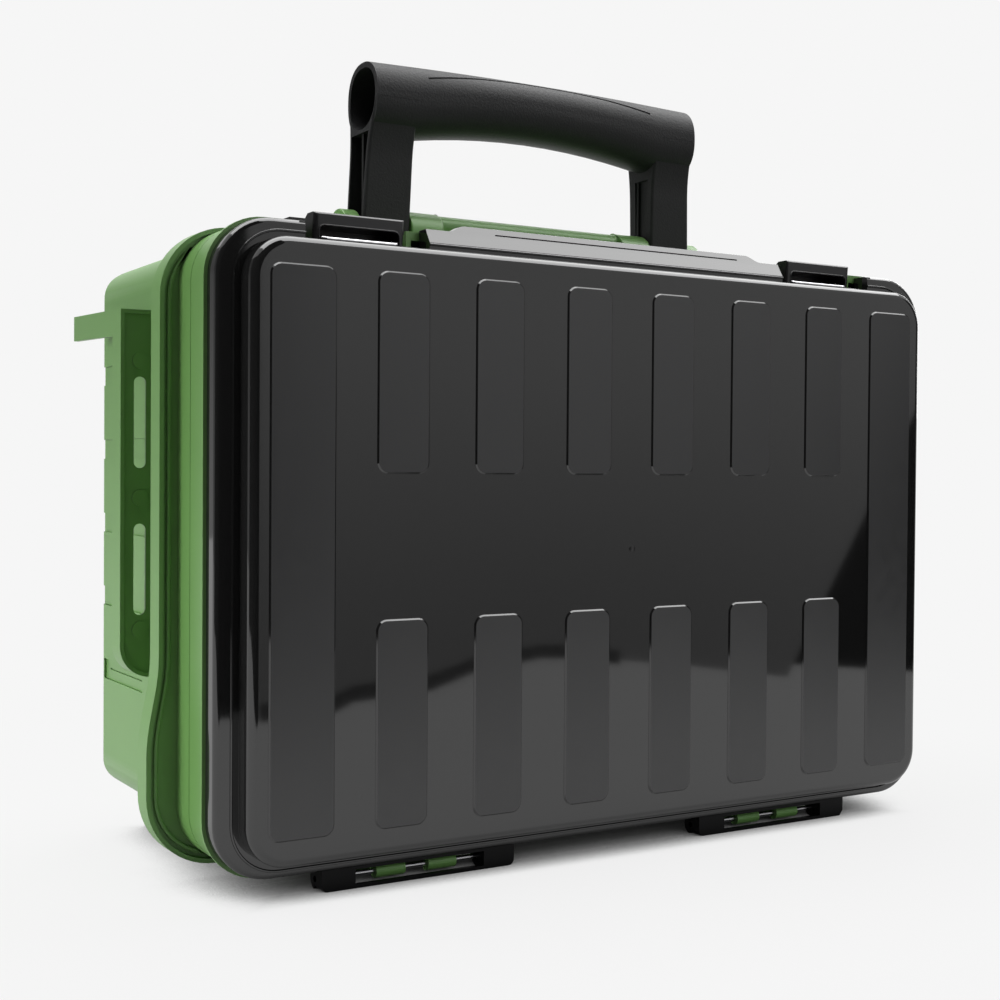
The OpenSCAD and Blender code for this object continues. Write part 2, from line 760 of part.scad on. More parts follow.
module lid_shell() {
    bead = rim_bead_gap + rim_bead_w;
    color(smoke) difference() {
        union() {
            difference() {
                union() {
                    slab(case_w, case_h, corner_r, rim_y, lid_y1, mid_z);
                    field(field_w, field_h, field_r, field_edge_r, field_y, rim_y + eps);
                    from_front(rim_y - 0.8, rim_y + eps) translate([0, field_mid]) difference() {
                        rrect(field_w + 2 * bead, field_h + 2 * bead, field_r + bead);
                        rrect(field_w + 2 * rim_bead_gap, field_h + 2 * rim_bead_gap, field_r + rim_bead_gap);
                    }
                    // Raised lip at the middle of the top
                    from_front(rim_y, lid_y1) lip_outline();
                }
                slab(case_w - 2 * wall, case_h - 2 * wall, corner_r - wall, rim_y + wall, lid_y1 + 1, mid_z);
                slab(field_w - 2 * wall, field_h - 2 * wall, field_r - wall,
                     field_y + wall, rim_y + wall + 1, field_mid);
            }
            // Solid round each latch notch
            both() block([latch_x - notch_w / 2 - wall, rim_y, notch_z - wall],
                         [latch_x + notch_w / 2 + wall, lid_y1, top_z - eps]);
            lid_pads();
        }
        both() block([latch_x - notch_w / 2, rim_y - 1, notch_z],
                     [latch_x + notch_w / 2, lid_y1 + 1, top_z + 10]);
    }
}

// Hinge leaf under the lid: a block with a window, and a cheek with a bore at each end
module hinge_leaf() {
    y0 = lid_pin_y - leaf_front;
    difference() {
        union() {
            rod(-leaf_w / 2, leaf_w / 2, lid_pin_y, pin_z, leaf_r);
            block([-leaf_w / 2, y0, 0], [leaf_w / 2, lid_pin_y, pin_z]);
            block([-leaf_w / 2, y0, pin_z - eps], [leaf_w / 2, lid_y1, ground_gap]);
        }
        block([-window_w / 2, y0 + 3, -1], [window_w / 2, lid_pin_y + leaf_r + 1, ground_gap + 1]);
        block([-window_w / 2, y0 - 1, window_bar], [window_w / 2, y0 + 4, ground_gap - window_bar]);
        rod(-leaf_w / 2 - 1, leaf_w / 2 + 1, lid_pin_y, pin_z, pin_r + run_gap);
    }
}

module hinge_leaf_left() { color(black) translate([-hinge_x, 0, 0]) hinge_leaf(); }
module hinge_leaf_right() { color(black) translate([hinge_x, 0, 0]) hinge_leaf(); }

// Lid latch lever with a pocket for the bail, open at its front and underside
module latch_lever() {
    w = lever_w / 2;
    difference() {
        union() {
            block([-w, lever_y, lever_z], [w, lever_pivot_y, lever_z + lever_rear_h]);
            block([-w, lever_y, lever_z], [w, lever_y + lever_front_d, lever_z + lever_h]);
            rod(-w, w, lever_pivot_y, lever_pivot_z, lever_end_r);
        }
        block([-w + lever_side, lever_y - 1, lever_z - 1],
              [w - lever_side, lever_y + pocket_d, lever_z + pocket_h]);
        rod(-w - 1, w + 1, lever_pivot_y, lever_pivot_z, latch_pin_r + run_gap);
        rod(-w + 0.8, w - 0.8, bail_y, bail_z, wire_r + run_gap);
    }
}

module latch_lever_left() { color(black) translate([-latch_x - latch_shift, 0, 0]) latch_lever(); }
module latch_lever_right() { color(black) translate([latch_x - latch_shift, 0, 0]) latch_lever(); }

// Steel bail: a front wire, two arms and two stubs that turn in the lever
module latch_bail() {
    x = lever_w / 2 - bail_in;
    arm_r = wire_r - 0.1;
    rod(-x - wire_r, x + wire_r, wire_y, wire_z, wire_r);
    for (s = [-1, 1]) translate([s * x, wire_y, wire_z]) rotate([-atan2(bail_l, bail_h), 0, 0])
        cylinder(h = sqrt(bail_l * bail_l + bail_h * bail_h), r = arm_r);
    both() rod(x - wire_r, lever_w / 2 - 1, bail_y, bail_z, wire_r);
}

module latch_bail_left() { color(steel) translate([-latch_x - latch_shift, 0, 0]) latch_bail(); }
module latch_bail_right() { color(steel) translate([latch_x - latch_shift, 0, 0]) latch_bail(); }

// Tray latch lever, which lies over the parting line between the tray and the tub
module tray_latch() {
    w = lever_w / 2;
    difference() {
        union() {
            block([-w, tray_lever_y, tray_lever_z], [w, tray_pivot_y, tray_lever_z + tray_lever_h]);
            rod(-w, w, tray_pivot_y, tray_pivot_z, tray_lever_r);
        }
        rod(-w - 1, w + 1, tray_pivot_y, tray_pivot_z, latch_pin_r + run_gap);
    }
}

module tray_latch_left() { color(black) translate([-latch_x - latch_shift, 0, 0]) tray_latch(); }
module tray_latch_right() { color(black) translate([latch_x - latch_shift, 0, 0]) tray_latch(); }

// A leg's solid, drawn in by d at its front and rear: its front and its sides lean towards the grip
module leg_solid(x0, x1, d) {
    y0 = pivot_y - leg_d / 2 + d;
    y1 = pivot_y + leg_d / 2 - d;
    intersection() {
        from_front(y0 - leg_lean - 1, y1 + 1)
            polygon([[x0, pivot_z], [x1, pivot_z], [x1 - grip_end_in, grip_z], [x0 - leg_lean_in, grip_z]]);
        translate([x0 - leg_lean_in - 1, 0, 0]) rotate([90, 0, 90]) linear_extrude(x1 - x0 + leg_lean_in + 2)
            polygon([[y0, pivot_z], [y1, pivot_z], [y1, grip_z], [y0 - leg_lean, grip_z]]);
    }
}

// One leg: a channel open to the outside, with a rounded lower end and a hub for the pin
module handle_leg() {
    x0 = leg_x - leg_w / 2;
    x1 = leg_x + leg_w / 2;
    difference() {
        union() {
            rod(x0, x1, pivot_y, pivot_z, leg_end_r);
            leg_solid(x0, x1, 0);
        }
        difference() {
            leg_solid(x0 + grip_wall, x1 + grip_wall + grip_end_in, grip_wall);
            block([x0 - 1, pivot_y - grip_wall / 2, pivot_z],
                  [x1 - grip_end_in - 4, pivot_y + grip_wall / 2, grip_z]);
            rod(x0, x1, pivot_y, pivot_z, hub_r);
        }
        rod(x0 - 1, x1 + 1, pivot_y, pivot_z, handle_pin_r + run_gap);
    }
}

// Rod of rounded section along the grip, from x0 to x1
module grip_rod(x0, x1, d, h, r) {
    translate([x0, grip_y, grip_z]) rotate([90, 0, 90]) linear_extrude(x1 - x0) rrect(d, h, r);
}

// Space under the grip's arch: a wide cylinder that only reaches between the legs
module arch_space() {
    half = handle_w / 2 - leg_w;
    arch_r = (half * half + grip_arch * grip_arch) / (2 * grip_arch);
    under = grip_z - grip_h / 2;
    intersection() {
        translate([0, grip_y + grip_d, under + grip_arch - arch_r]) rotate([90, 0, 0])
            cylinder(h = 2 * grip_d, r = arch_r, $fn = 360);
        block([-half, grip_y - grip_d, under - 1], [half, grip_y + grip_d, grip_z]);
    }
}

module handle() {
    end_x = handle_w / 2 - grip_end_in;
    color(black) difference() {
        union() {
            both() handle_leg();
            grip_rod(-end_x, end_x, grip_d, grip_h, grip_r);
        }
        arch_space();
        both() grip_rod(end_x - grip_bore_l, end_x + 1,
                        grip_d - 2 * grip_wall, grip_h - 2 * grip_wall, grip_r - grip_wall);
        grip_rod(-end_x, end_x, grip_core_d, grip_core_h, grip_core_h / 2 - 2);
    }
}

tub_shell();
handle_mount();
handle_pins();
side_rail_left();
side_rail_right();
rear_feet();
tub_boards();
tray_hinge_pins();
tray_latch_pins();
tray_frame();
tray_dividers();
lid_hinge_pins();
lid_latch_pins();
lid_shell();
hinge_leaf_left();
hinge_leaf_right();
latch_lever_left();
latch_lever_right();
latch_bail_left();
latch_bail_right();
tray_latch_left();
tray_latch_right();
handle();
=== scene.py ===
import math
import bmesh
import bpy
from mathutils import Matrix, Vector


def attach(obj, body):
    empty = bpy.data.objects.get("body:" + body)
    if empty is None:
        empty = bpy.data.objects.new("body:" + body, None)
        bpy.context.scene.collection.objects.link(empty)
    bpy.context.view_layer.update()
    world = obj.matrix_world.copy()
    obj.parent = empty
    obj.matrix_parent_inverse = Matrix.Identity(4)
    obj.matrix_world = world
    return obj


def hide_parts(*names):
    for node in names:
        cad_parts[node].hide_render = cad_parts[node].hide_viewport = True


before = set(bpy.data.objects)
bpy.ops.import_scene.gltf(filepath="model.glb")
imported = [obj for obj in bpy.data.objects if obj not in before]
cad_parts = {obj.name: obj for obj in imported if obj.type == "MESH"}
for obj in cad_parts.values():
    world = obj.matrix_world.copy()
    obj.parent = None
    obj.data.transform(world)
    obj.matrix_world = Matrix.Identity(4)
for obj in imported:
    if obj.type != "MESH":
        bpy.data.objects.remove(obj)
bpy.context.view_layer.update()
mm = 0.001
print("frame loaded")


# small helpers, in the order that a hand would use them

def deselectAll():
    if bpy.context.object and bpy.context.object.mode != "OBJECT":
        bpy.ops.object.mode_set(mode="OBJECT")
    bpy.ops.object.select_all(action="DESELECT")


def takeUp(piece):
    deselectAll()
    bpy.context.view_layer.objects.active = piece
    piece.select_set(True)


def openMesh(piece):
    takeUp(piece)
    bpy.ops.object.mode_set(mode="EDIT")
    bpy.ops.mesh.select_mode(type="EDGE")
    bpy.ops.mesh.select_all(action="DESELECT")
    return bmesh.from_edit_mesh(piece.data)


def closeMesh():
    bpy.ops.object.mode_set(mode="OBJECT")


def faceOutwards():
    bpy.ops.mesh.select_all(action="SELECT")
    bpy.ops.mesh.normals_make_consistent(inside=False)
    closeMesh()


def pull(move):
    # the open outline becomes a solid along a move in mm
    bpy.ops.mesh.select_all(action="SELECT")
    bpy.ops.mesh.extrude_region_move(TRANSFORM_OT_translate={"value": tuple(c * mm for c in move)})
    faceOutwards()


def bevelEdges(piece, width, segments, test):
    # the test is given both ends of an edge in mm, and allows a small error
    bm = openMesh(piece)
    for edge in bm.edges:
        if test(edge.verts[0].co / mm, edge.verts[1].co / mm):
            edge.select_set(True)
    bmesh.update_edit_mesh(piece.data)
    bpy.ops.mesh.bevel(offset=width * mm, segments=segments, affect="EDGES")
    closeMesh()


def applyModifier(piece, kind, **settings):
    mod = piece.modifiers.new(kind.lower(), kind)
    for key, value in settings.items():
        setattr(mod, key, value)
    takeUp(piece)
    bpy.ops.object.modifier_apply(modifier=mod.name)


def combine(base, tool, how):
    # a tool reaches past what it cuts, so a bare number added to its end leaves no mark
    applyModifier(base, "BOOLEAN", object=tool, operation=how, solver="EXACT")
    bpy.data.objects.remove(tool)


def cleanMesh(piece, angle=0.6):
    # doubled points merged, and edges dropped where both faces lie in one plane
    openMesh(piece)
    bpy.ops.mesh.select_all(action="SELECT")
    bpy.ops.mesh.remove_doubles(threshold=0.002 * mm)
    bpy.ops.mesh.dissolve_limited(angle_limit=math.radians(angle))
    faceOutwards()


def roundPlate(name, width, height, radius, yFront, yBack, zMid, xMid=0.0, segments=14):
    # a plane that faces the front, its corners rounded, then pulled back to its depth
    deselectAll()
    bpy.ops.mesh.primitive_plane_add(size=1, location=(xMid * mm, yFront * mm, zMid * mm),
                                     rotation=(math.pi / 2, 0, 0))
    plate = bpy.context.object
    plate.name = name
    plate.scale = (width * mm, height * mm, 1)
    bpy.ops.object.transform_apply()
    openMesh(plate)
    bpy.ops.mesh.select_all(action="SELECT")
    bpy.ops.mesh.bevel(offset=radius * mm, segments=segments, affect="VERTICES")
    pull((0, yBack - yFront, 0))
    return plate


def fillOutline(name, points, move):
    # a filled circle whose points are moved to the outline, then pulled to its depth
    deselectAll()
    bpy.ops.mesh.primitive_circle_add(vertices=len(points), radius=0.1, fill_type="NGON")
    plate = bpy.context.object
    plate.name = name
    for vert, point in zip(plate.data.vertices, points):
        vert.co = [c * mm for c in point]
    openMesh(plate)
    pull(move)
    return plate


def outlinePlate(name, outline, yFront, yBack):
    # an outline seen from the front, as x and z
    return fillOutline(name, [(x, yFront, z) for x, z in outline], (0, yBack - yFront, 0))


def profilePlate(name, outline, x0, x1):
    # an outline seen from the side, as y and z
    return fillOutline(name, [(x0, y, z) for y, z in outline], (x1 - x0, 0, 0))


def loft(name, rings):
    # a grid rolled up into a tube, one row of points for each ring, its ends filled
    deselectAll()
    count = len(rings[0])
    bpy.ops.mesh.primitive_grid_add(x_subdivisions=count, y_subdivisions=len(rings) - 1, size=1)
    tube = bpy.context.object
    tube.name = name
    for i, ring in enumerate(rings):
        for j in range(count + 1):
            tube.data.vertices[i * (count + 1) + j].co = [c * mm for c in ring[j % count]]
    openMesh(tube)
    bpy.ops.mesh.select_all(action="SELECT")
    bpy.ops.mesh.remove_doubles(threshold=0.002 * mm)
    bpy.ops.mesh.select_all(action="DESELECT")
    bpy.ops.mesh.select_non_manifold()
    bpy.ops.mesh.edge_face_add()
    faceOutwards()
    return tube


def arc(cx, cz, radius, start, end, steps=8):
    # points on an arc, by its angles in degrees
    angles = [math.radians(start + (end - start) * i / steps) for i in range(steps + 1)]
    return [(cx + radius * math.cos(a), cz + radius * math.sin(a)) for a in angles]


def ease(t):
    # a smooth S from 0 to 1
    t = min(max(t, 0), 1)
    return (1 - math.cos(math.pi * t)) / 2


def block(name, corner, opposite):
    # a cube between two opposite corners
    deselectAll()
    middle = [(a + b) / 2 * mm for a, b in zip(corner, opposite)]
    bpy.ops.mesh.primitive_cube_add(size=1, location=middle)
    cube = bpy.context.object
    cube.name = name
    cube.scale = [abs(b - a) * mm for a, b in zip(corner, opposite)]
    bpy.ops.object.transform_apply()
    return cube


def rod(name, x0, x1, y, z, radius, vertices=32):
    # a cylinder that lies across the case
    deselectAll()
    bpy.ops.mesh.primitive_cylinder_add(vertices=vertices, radius=radius * mm, depth=abs(x1 - x0) * mm,
                                        location=((x0 + x1) / 2 * mm, y * mm, z * mm),
                                        rotation=(0, math.pi / 2, 0))
    piece = bpy.context.object
    piece.name = name
    bpy.ops.object.transform_apply()
    return piece


def stud(x, y, z, radius, depth):
    # a short cylinder that points at the front, with its middle at y
    deselectAll()
    bpy.ops.mesh.primitive_cylinder_add(vertices=32, radius=radius * mm, depth=depth * mm,
                                        location=(x * mm, y * mm, z * mm), rotation=(math.pi / 2, 0, 0))
    piece = bpy.context.object
    bpy.ops.object.transform_apply()
    return piece


def wire(name, points, radius):
    # a bent wire: a poly curve with a round section, made a mesh
    curve = bpy.data.curves.new(name, "CURVE")
    curve.dimensions = "3D"
    curve.bevel_depth = radius * mm
    curve.bevel_resolution = 3
    curve.use_fill_caps = True
    spline = curve.splines.new("POLY")
    spline.points.add(len(points) - 1)
    for point, (x, y, z) in zip(spline.points, points):
        point.co = (x * mm, y * mm, z * mm, 1)
    piece = bpy.data.objects.new(name, curve)
    bpy.context.scene.collection.objects.link(piece)
    takeUp(piece)
    bpy.ops.object.convert(target="MESH")
    piece = bpy.context.object
    openMesh(piece)
    bpy.ops.mesh.select_all(action="SELECT")
    bpy.ops.mesh.remove_doubles(threshold=0.001 * mm)
    faceOutwards()
    return piece


def smoothPiece(piece, angle=40):
    takeUp(piece)
    bpy.ops.object.shade_smooth_by_angle(angle=math.radians(angle))
    applyModifier(piece, "WEIGHTED_NORMAL", keep_sharp=True, weight=60)


def softEdges(piece, width, segments=2, angle=35, smooth=40):
    applyModifier(piece, "BEVEL", width=width * mm, segments=segments, limit_method="ANGLE",
                  angle_limit=math.radians(angle))
    smoothPiece(piece, smooth)


def join(*pieces):
    deselectAll()
    for piece in pieces:
        piece.select_set(True)
    bpy.context.view_layer.objects.active = pieces[0]
    bpy.ops.object.join()
    return pieces[0]


def copyOf(name, node):
    # a copy of the frame's solid, merged, ready to be cut or joined
    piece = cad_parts[node].copy()
    piece.data = piece.data.copy()
    piece.name = name
    piece.parent = None
    piece.matrix_world = Matrix.Identity(4)
    piece.data.materials.clear()
    bpy.context.scene.collection.objects.link(piece)
    cleanMesh(piece)
    return piece


def place(piece, body, slot, material, *nodes):
    piece.data.materials.clear()
    piece.data.materials.append(material)
    if nodes:
        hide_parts(*nodes)
    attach(piece, body)


# materials

def colour(text):
    # sRGB hex to the linear values that Blender wants
    parts = [int(text[i:i + 2], 16) / 255 for i in (1, 3, 5)]
    return tuple(c / 12.92 if c <= 0.04045 else ((c + 0.055) / 1.055) ** 2.4 for c in parts) + (1.0,)


def addNode(tree, kind, settings=None, **inputs):
    # an input is given by its label, or by its number as in0, in1 and so on
    node = tree.nodes.new(kind)
    for key, value in (settings or {}).items():
        setattr(node, key, value)
    for key, value in inputs.items():
        numbered = key[:2] == "in" and key[2:].isdigit()
        socket = node.inputs[int(key[2:]) if numbered else key.replace("_", " ")]
        if isinstance(value, bpy.types.NodeSocket):
            tree.links.new(value, socket)
        else:
            socket.default_value = value
    return node


def newMaterial(name):
    material = bpy.data.materials.new(name)
    material.use_nodes = True
    tree = material.node_tree
    tree.nodes.clear()
    coords = addNode(tree, "ShaderNodeTexCoord").outputs["Object"]
    return material, tree, coords


def finishMaterial(tree, surface):
    addNode(tree, "ShaderNodeOutputMaterial", Surface=surface)


def noise(tree, coords, size, detail=2.0, roughness=0.5):
    # soft spots about this many mm across
    spots = addNode(tree, "ShaderNodeTexNoise", Vector=coords, Scale=1 / (size * mm), Detail=detail,
                    Roughness=roughness)
    return spots.outputs[0]


# how a moulded skin varies, in mm and in roughness
skin = {"flow": 70, "swing": 0.06, "haze": 9, "hazeShare": 0.2, "fineGrain": 0.4, "fineDepth": 0.02}


def mouldedPlastic(name, base, mottled, roughness, grainSize, grainDepth, ior, relief=0.5, level=0.5):
    # a moulded plastic: a fine eroded grain in bump and roughness, and slight flow marks in its colour
    material, tree, coords = newMaterial(name)
    grain = noise(tree, coords, grainSize, 3.0, 0.6)
    flow = noise(tree, coords, skin["flow"])
    tint = addNode(tree, "ShaderNodeMix", {"data_type": "RGBA"}, in0=flow, in6=colour(base),
                   in7=colour(mottled))
    gloss = addNode(tree, "ShaderNodeMapRange", Value=grain, To_Min=roughness - skin["swing"],
                    To_Max=roughness + skin["swing"])
    bump = addNode(tree, "ShaderNodeBump", Strength=relief, Distance=grainDepth * mm, Height=grain)
    shader = addNode(tree, "ShaderNodeBsdfPrincipled", IOR=ior, Base_Color=tint.outputs[2],
                     Roughness=gloss.outputs[0], Normal=bump.outputs[0], Specular_IOR_Level=level)
    finishMaterial(tree, shader.outputs[0])
    return material


# Copolymer polypropylene, moulded in a spark eroded tool: a soft sheen, edges that look a little waxy
greenPolypropylene = mouldedPlastic("moulded polypropylene green", "#679150", "#608a4a", 0.38, 0.5, 0.02,
                                    ior=1.49)
# The same polymer in a darker batch, for the feet
darkPolypropylene = mouldedPlastic("moulded polypropylene dark green", "#2f4527", "#2a3f23", 0.5, 0.5, 0.02,
                                   ior=1.49)
# Glass filled nylon: black with a satin grain, used for the handle
blackNylon = mouldedPlastic("glass filled nylon black", "#212122", "#1c1c1d", 0.50, 1.2, 0.22, ior=1.53,
                            relief=0.9, level=0.2)
# Acetal: denser and a little slicker than nylon, used for the latches and their bases
blackAcetal = mouldedPlastic("acetal black", "#1f1f20", "#1c1c1d", 0.30, 0.4, 0.015, ior=1.48)
# The same acetal, duller, its colour darkened as painted shade for the hinge leaves in the case's own shadow
leafAcetalPaintedShade = mouldedPlastic("acetal black dull painted shade", "#0a0a0b", "#080809", 0.5, 0.4, 0.015, ior=1.48, level=0.2)
# High impact polystyrene sheet, dull, for dividers and boards
blackPolystyrene = mouldedPlastic("high impact polystyrene black", "#1d1d1e", "#1a1a1b", 0.55, 0.5, 0.02,
                                  ior=1.59)


def smokePolycarbonate(name, base, roughness, relief, level):
    # polycarbonate, tinted until it is nearly black, with a faint haze in its gloss
    material, tree, coords = newMaterial(name)
    gloss = addNode(tree, "ShaderNodeMapRange", Value=noise(tree, coords, skin["haze"], 3.0, 0.6),
                    To_Min=roughness * (1 - skin["hazeShare"]), To_Max=roughness * (1 + skin["hazeShare"]))
    bump = addNode(tree, "ShaderNodeBump", Strength=relief, Distance=skin["fineDepth"] * mm,
                   Height=noise(tree, coords, skin["fineGrain"]))
    shader = addNode(tree, "ShaderNodeBsdfPrincipled", IOR=1.585, Base_Color=colour(base),
                     Roughness=gloss.outputs[0], Normal=bump.outputs[0], Specular_IOR_Level=level)
    finishMaterial(tree, shader.outputs[0])
    return material


# Polished polycarbonate: it mirrors the room sharply
glossLid = smokePolycarbonate("polished polycarbonate smoke", "#191919", 0.05, 0.02, 0.65)
# The same polycarbonate with an etched skin, so that the pads stay softer than the field
satinPads = smokePolycarbonate("satin polycarbonate smoke", "#222223", 0.34, 0.3, 0.6)


def brightSteel():
    # drawn stainless wire: bright, with fine lines along it
    material, tree, coords = newMaterial("stainless steel wire")
    stretch = addNode(tree, "ShaderNodeMapping", Vector=coords, Scale=(0.05, 1.0, 1.0))
    lines = noise(tree, stretch.outputs[0], 0.15)
    gloss = addNode(tree, "ShaderNodeMapRange", Value=lines, To_Min=0.14, To_Max=0.28)
    shader = addNode(tree, "ShaderNodeBsdfPrincipled", Metallic=1.0, Base_Color=colour("#c9c9cc"),
                     Roughness=gloss.outputs[0])
    finishMaterial(tree, shader.outputs[0])
    return material


steelWire = brightSteel()
print("materials made")


# the lid, from the front to the rear: raised field, bead, rim and lip
lid = {"width": 448, "height": 308, "corner": 28, "middle": 165, "rimFront": -86.7, "rear": -75.7,
       "rimEdge": 2.8, "wall": 2.8,
       "fieldWidth": 424, "fieldHeight": 291.2, "fieldCorner": 20, "fieldFront": -99.2, "fieldMiddle": 164,
       "fieldEdge": 4.4, "beadGap": 3.0, "beadWidth": 1.3, "beadRise": 0.8, "beadEdge": 0.5,
       "lipHalf": 91, "lipRamp": 10, "lipRise": 5.8, "lipEndRise": 2.3, "lipEndGap": 4, "lipSeat": 6,
       "leanFrom": -4.6, "leanDepth": 6.4, "bendUp": 4.2, "bendShare": 0.42, "leanOver": 0.6,
       "slitFrom": -74, "slitTo": 84, "slitDown": 3.3, "slitHalf": 0.35, "slitFront": 2, "slitRear": 6.2,
       "notchX": 147, "notchWidth": 66, "notchFloor": 309.9, "notchInset": 0.4,
       "padRise": 0.8, "padSink": 0.2, "padCorner": 5.5, "padWidth": 28, "padPitch": 53.7, "endPad": 33.2,
       "endPadX": 186.1, "padBottom": 31.3, "padTop": 296.7, "upperPad": 96, "lowerPad": 100,
       "padEdge": 0.72, "padRim": 0.85,
       "gateX": 1.0, "gateZ": 162.0, "gateRing": 1.9, "gateGroove": 0.6, "gateDepth": 0.3, "gatePip": 0.5,
       "gatePipRise": 0.6, "gateSink": 0.02}
lidTop = lid["middle"] + lid["height"] / 2


def lipOutline():
    # low beside each notch, with an S up to its middle
    p = lid
    half, ramp, foot = p["lipHalf"], p["lipRamp"], lidTop - p["lipSeat"]
    low, high, end = lidTop + p["lipEndRise"], lidTop + p["lipRise"], p["notchX"] - p["lipEndGap"]
    crest = [(-half - ramp * (1 - i / 10), low + (high - low) * ease(i / 10)) for i in range(11)]
    outline = [(-end, foot), (-end, low)] + crest + [(-x, z) for x, z in reversed(crest)]
    return outline + [(end, low), (end, foot)]


def addField(shell):
    # the raised field, with a bead round it
    p = lid
    wide, high, corner, middle = p["fieldWidth"], p["fieldHeight"], p["fieldCorner"], p["fieldMiddle"]
    rim, crest = p["rimFront"], p["rimFront"] - p["beadRise"]
    field = roundPlate("field", wide, high, corner, p["fieldFront"], rim + 2, middle)
    bevelEdges(field, p["fieldEdge"], 8, lambda a, b: max(a.y, b.y) < p["fieldFront"] + 0.1)
    gap, reach = p["beadGap"], p["beadGap"] + p["beadWidth"]
    bead = roundPlate("bead", wide + 2 * reach, high + 2 * reach, corner + reach, crest, rim + 2, middle)
    inner = roundPlate("inner", wide + 2 * gap, high + 2 * gap, corner + gap, rim - 4, rim + 6, middle)
    combine(bead, inner, "DIFFERENCE")
    bevelEdges(bead, p["beadEdge"], 3, lambda a, b: max(a.y, b.y) < crest + 0.1)
    combine(shell, bead, "UNION")
    combine(shell, field, "UNION")


def hollowOut(shell):
    # the lid is a thin shell, open behind its rim and its field
    p = lid
    wall, rim = p["wall"], p["rimFront"]
    hollow = roundPlate("hollow", p["width"] - 2 * wall, p["height"] - 2 * wall, p["corner"] - wall,
                        rim + wall, p["rear"] + 1, p["middle"])
    combine(shell, hollow, "DIFFERENCE")
    hollow = roundPlate("hollow", p["fieldWidth"] - 2 * wall, p["fieldHeight"] - 2 * wall,
                        p["fieldCorner"] - wall, p["fieldFront"] + wall, rim + wall + 1, p["fieldMiddle"])
    combine(shell, hollow, "DIFFERENCE")


def leanLip(shell):
    # the lip's front leans back between the notches, and a slit runs along it
    p = lid
    front, foot, deep, high = p["rimFront"], lidTop + p["leanFrom"], p["leanDepth"], lidTop + p["lipRise"]
    reach, above = p["notchX"] - p["notchWidth"] / 2 + 2, high + 3
    lean = profilePlate("lean", [(front - 2, foot - 2), (front, foot),
                                 (front + deep * p["bendShare"], foot + p["bendUp"]),
                                 (front + deep, high + p["leanOver"]), (front + deep, above),
                                 (front - 2, above)], -reach, reach)
    combine(shell, lean, "DIFFERENCE")
    middle = high - p["slitDown"]
    slit = block("slit", (p["slitFrom"], front + p["slitFront"], middle - p["slitHalf"]),
                 (p["slitTo"], front + p["slitRear"], middle + p["slitHalf"]))
    combine(shell, slit, "DIFFERENCE")


def shapeTop(shell):
    # the notches for the latches lie in solid blocks, and are cut once the lip has its form
    p = lid
    wall, half = p["wall"], p["notchWidth"] / 2
    notches = [(side * p["notchX"] - half, side * p["notchX"] + half) for side in (-1, 1)]
    for left, right in notches:
        solid = block("solid", (left - wall, p["rimFront"] + p["notchInset"], p["notchFloor"] - wall),
                      (right + wall, p["rear"], lidTop - p["notchInset"]))
        combine(shell, solid, "UNION")
    leanLip(shell)
    for left, right in notches:
        cut = block("cut", (left, p["rimFront"] - 3, p["notchFloor"]), (right, p["rear"] + 2, lidTop + 12))
        combine(shell, cut, "DIFFERENCE")


def markGate(shell):
    # the mark of the mould's gate: a shallow ring with a pip
    p = lid
    marks = ((p["gateRing"], p["gateDepth"], 0, "DIFFERENCE"),
             (p["gateRing"] - p["gateGroove"], p["gateDepth"], p["gateSink"], "UNION"),
             (p["gatePip"], p["gatePipRise"], p["gateSink"], "UNION"))
    for radius, rise, sink, how in marks:
        combine(shell, stud(p["gateX"], p["fieldFront"] + sink, p["gateZ"], radius, 2 * rise), how)


def makeLidShell():
    p = lid
    front, rear = p["rimFront"], p["rear"]
    shell = roundPlate("lidShell", p["width"], p["height"], p["corner"], front, rear, p["middle"])
    bevelEdges(shell, p["rimEdge"], 6, lambda a, b: max(a.y, b.y) < front + 0.1)
    combine(shell, outlinePlate("lip", lipOutline(), front, rear), "UNION")
    addField(shell)
    hollowOut(shell)
    shapeTop(shell)
    markGate(shell)
    cleanMesh(shell, 0.3)
    softEdges(shell, 0.25, angle=45, smooth=35)
    place(shell, "lid", "smoke_plastic", glossLid, "lid_shell")


def makeLidPads():
    # the pads lie on the field: satin faces in polished rims
    p = lid
    low, high, band = p["padBottom"], p["padTop"], p["padRim"]
    front, rear = p["fieldFront"] - p["padRise"], p["fieldFront"] + p["padSink"]
    spots = [(side * p["endPadX"], low, p["endPad"], high - low) for side in (-1, 1)]
    for i in range(6):
        x = (i - 2.5) * p["padPitch"]
        spots.append((x, low, p["padWidth"], p["lowerPad"]))
        spots.append((x, high - p["upperPad"], p["padWidth"], p["upperPad"]))
    pads, rims = [], []
    for x, z, width, height in spots:
        middle = z + height / 2
        rim = roundPlate("rim", width, height, p["padCorner"], front, rear, middle, x, 10)
        bevelEdges(rim, p["padEdge"], 1, lambda a, b: max(a.y, b.y) < front + 0.05)
        size = (width - 2 * band, height - 2 * band, p["padCorner"] - band)
        combine(rim, roundPlate("inner", *size, front - 1, rear + 1, middle, x, 10), "DIFFERENCE")
        rims.append(rim)
        pads.append(roundPlate("pad", *size, front, rear, middle, x, 10))
    joined = (("lidPads", pads, satinPads, 35), ("lidPadRims", rims, glossLid, 30))
    for name, pieces, material, smooth in joined:
        piece = join(*pieces)
        piece.name = name
        smoothPiece(piece, smooth)
        place(piece, "lid", "smoke_plastic", material)


makeLidShell()
makeLidPads()
print("lid made")


# what keeps the frame's own form, with softened edges
dressed = [("handleMount", "handle_mount", "tub", "green_plastic", greenPolypropylene, 1.0),
           ("rearFeet", "rear_feet", "tub", "dark_green_plastic", darkPolypropylene, 1.0),
           ("trayLatchLeft", "tray_latch_left", "tray_latch_left", "black_plastic", blackAcetal, 0.6),
           ("trayLatchRight", "tray_latch_right", "tray_latch_right", "black_plastic", blackAcetal, 0.6)]

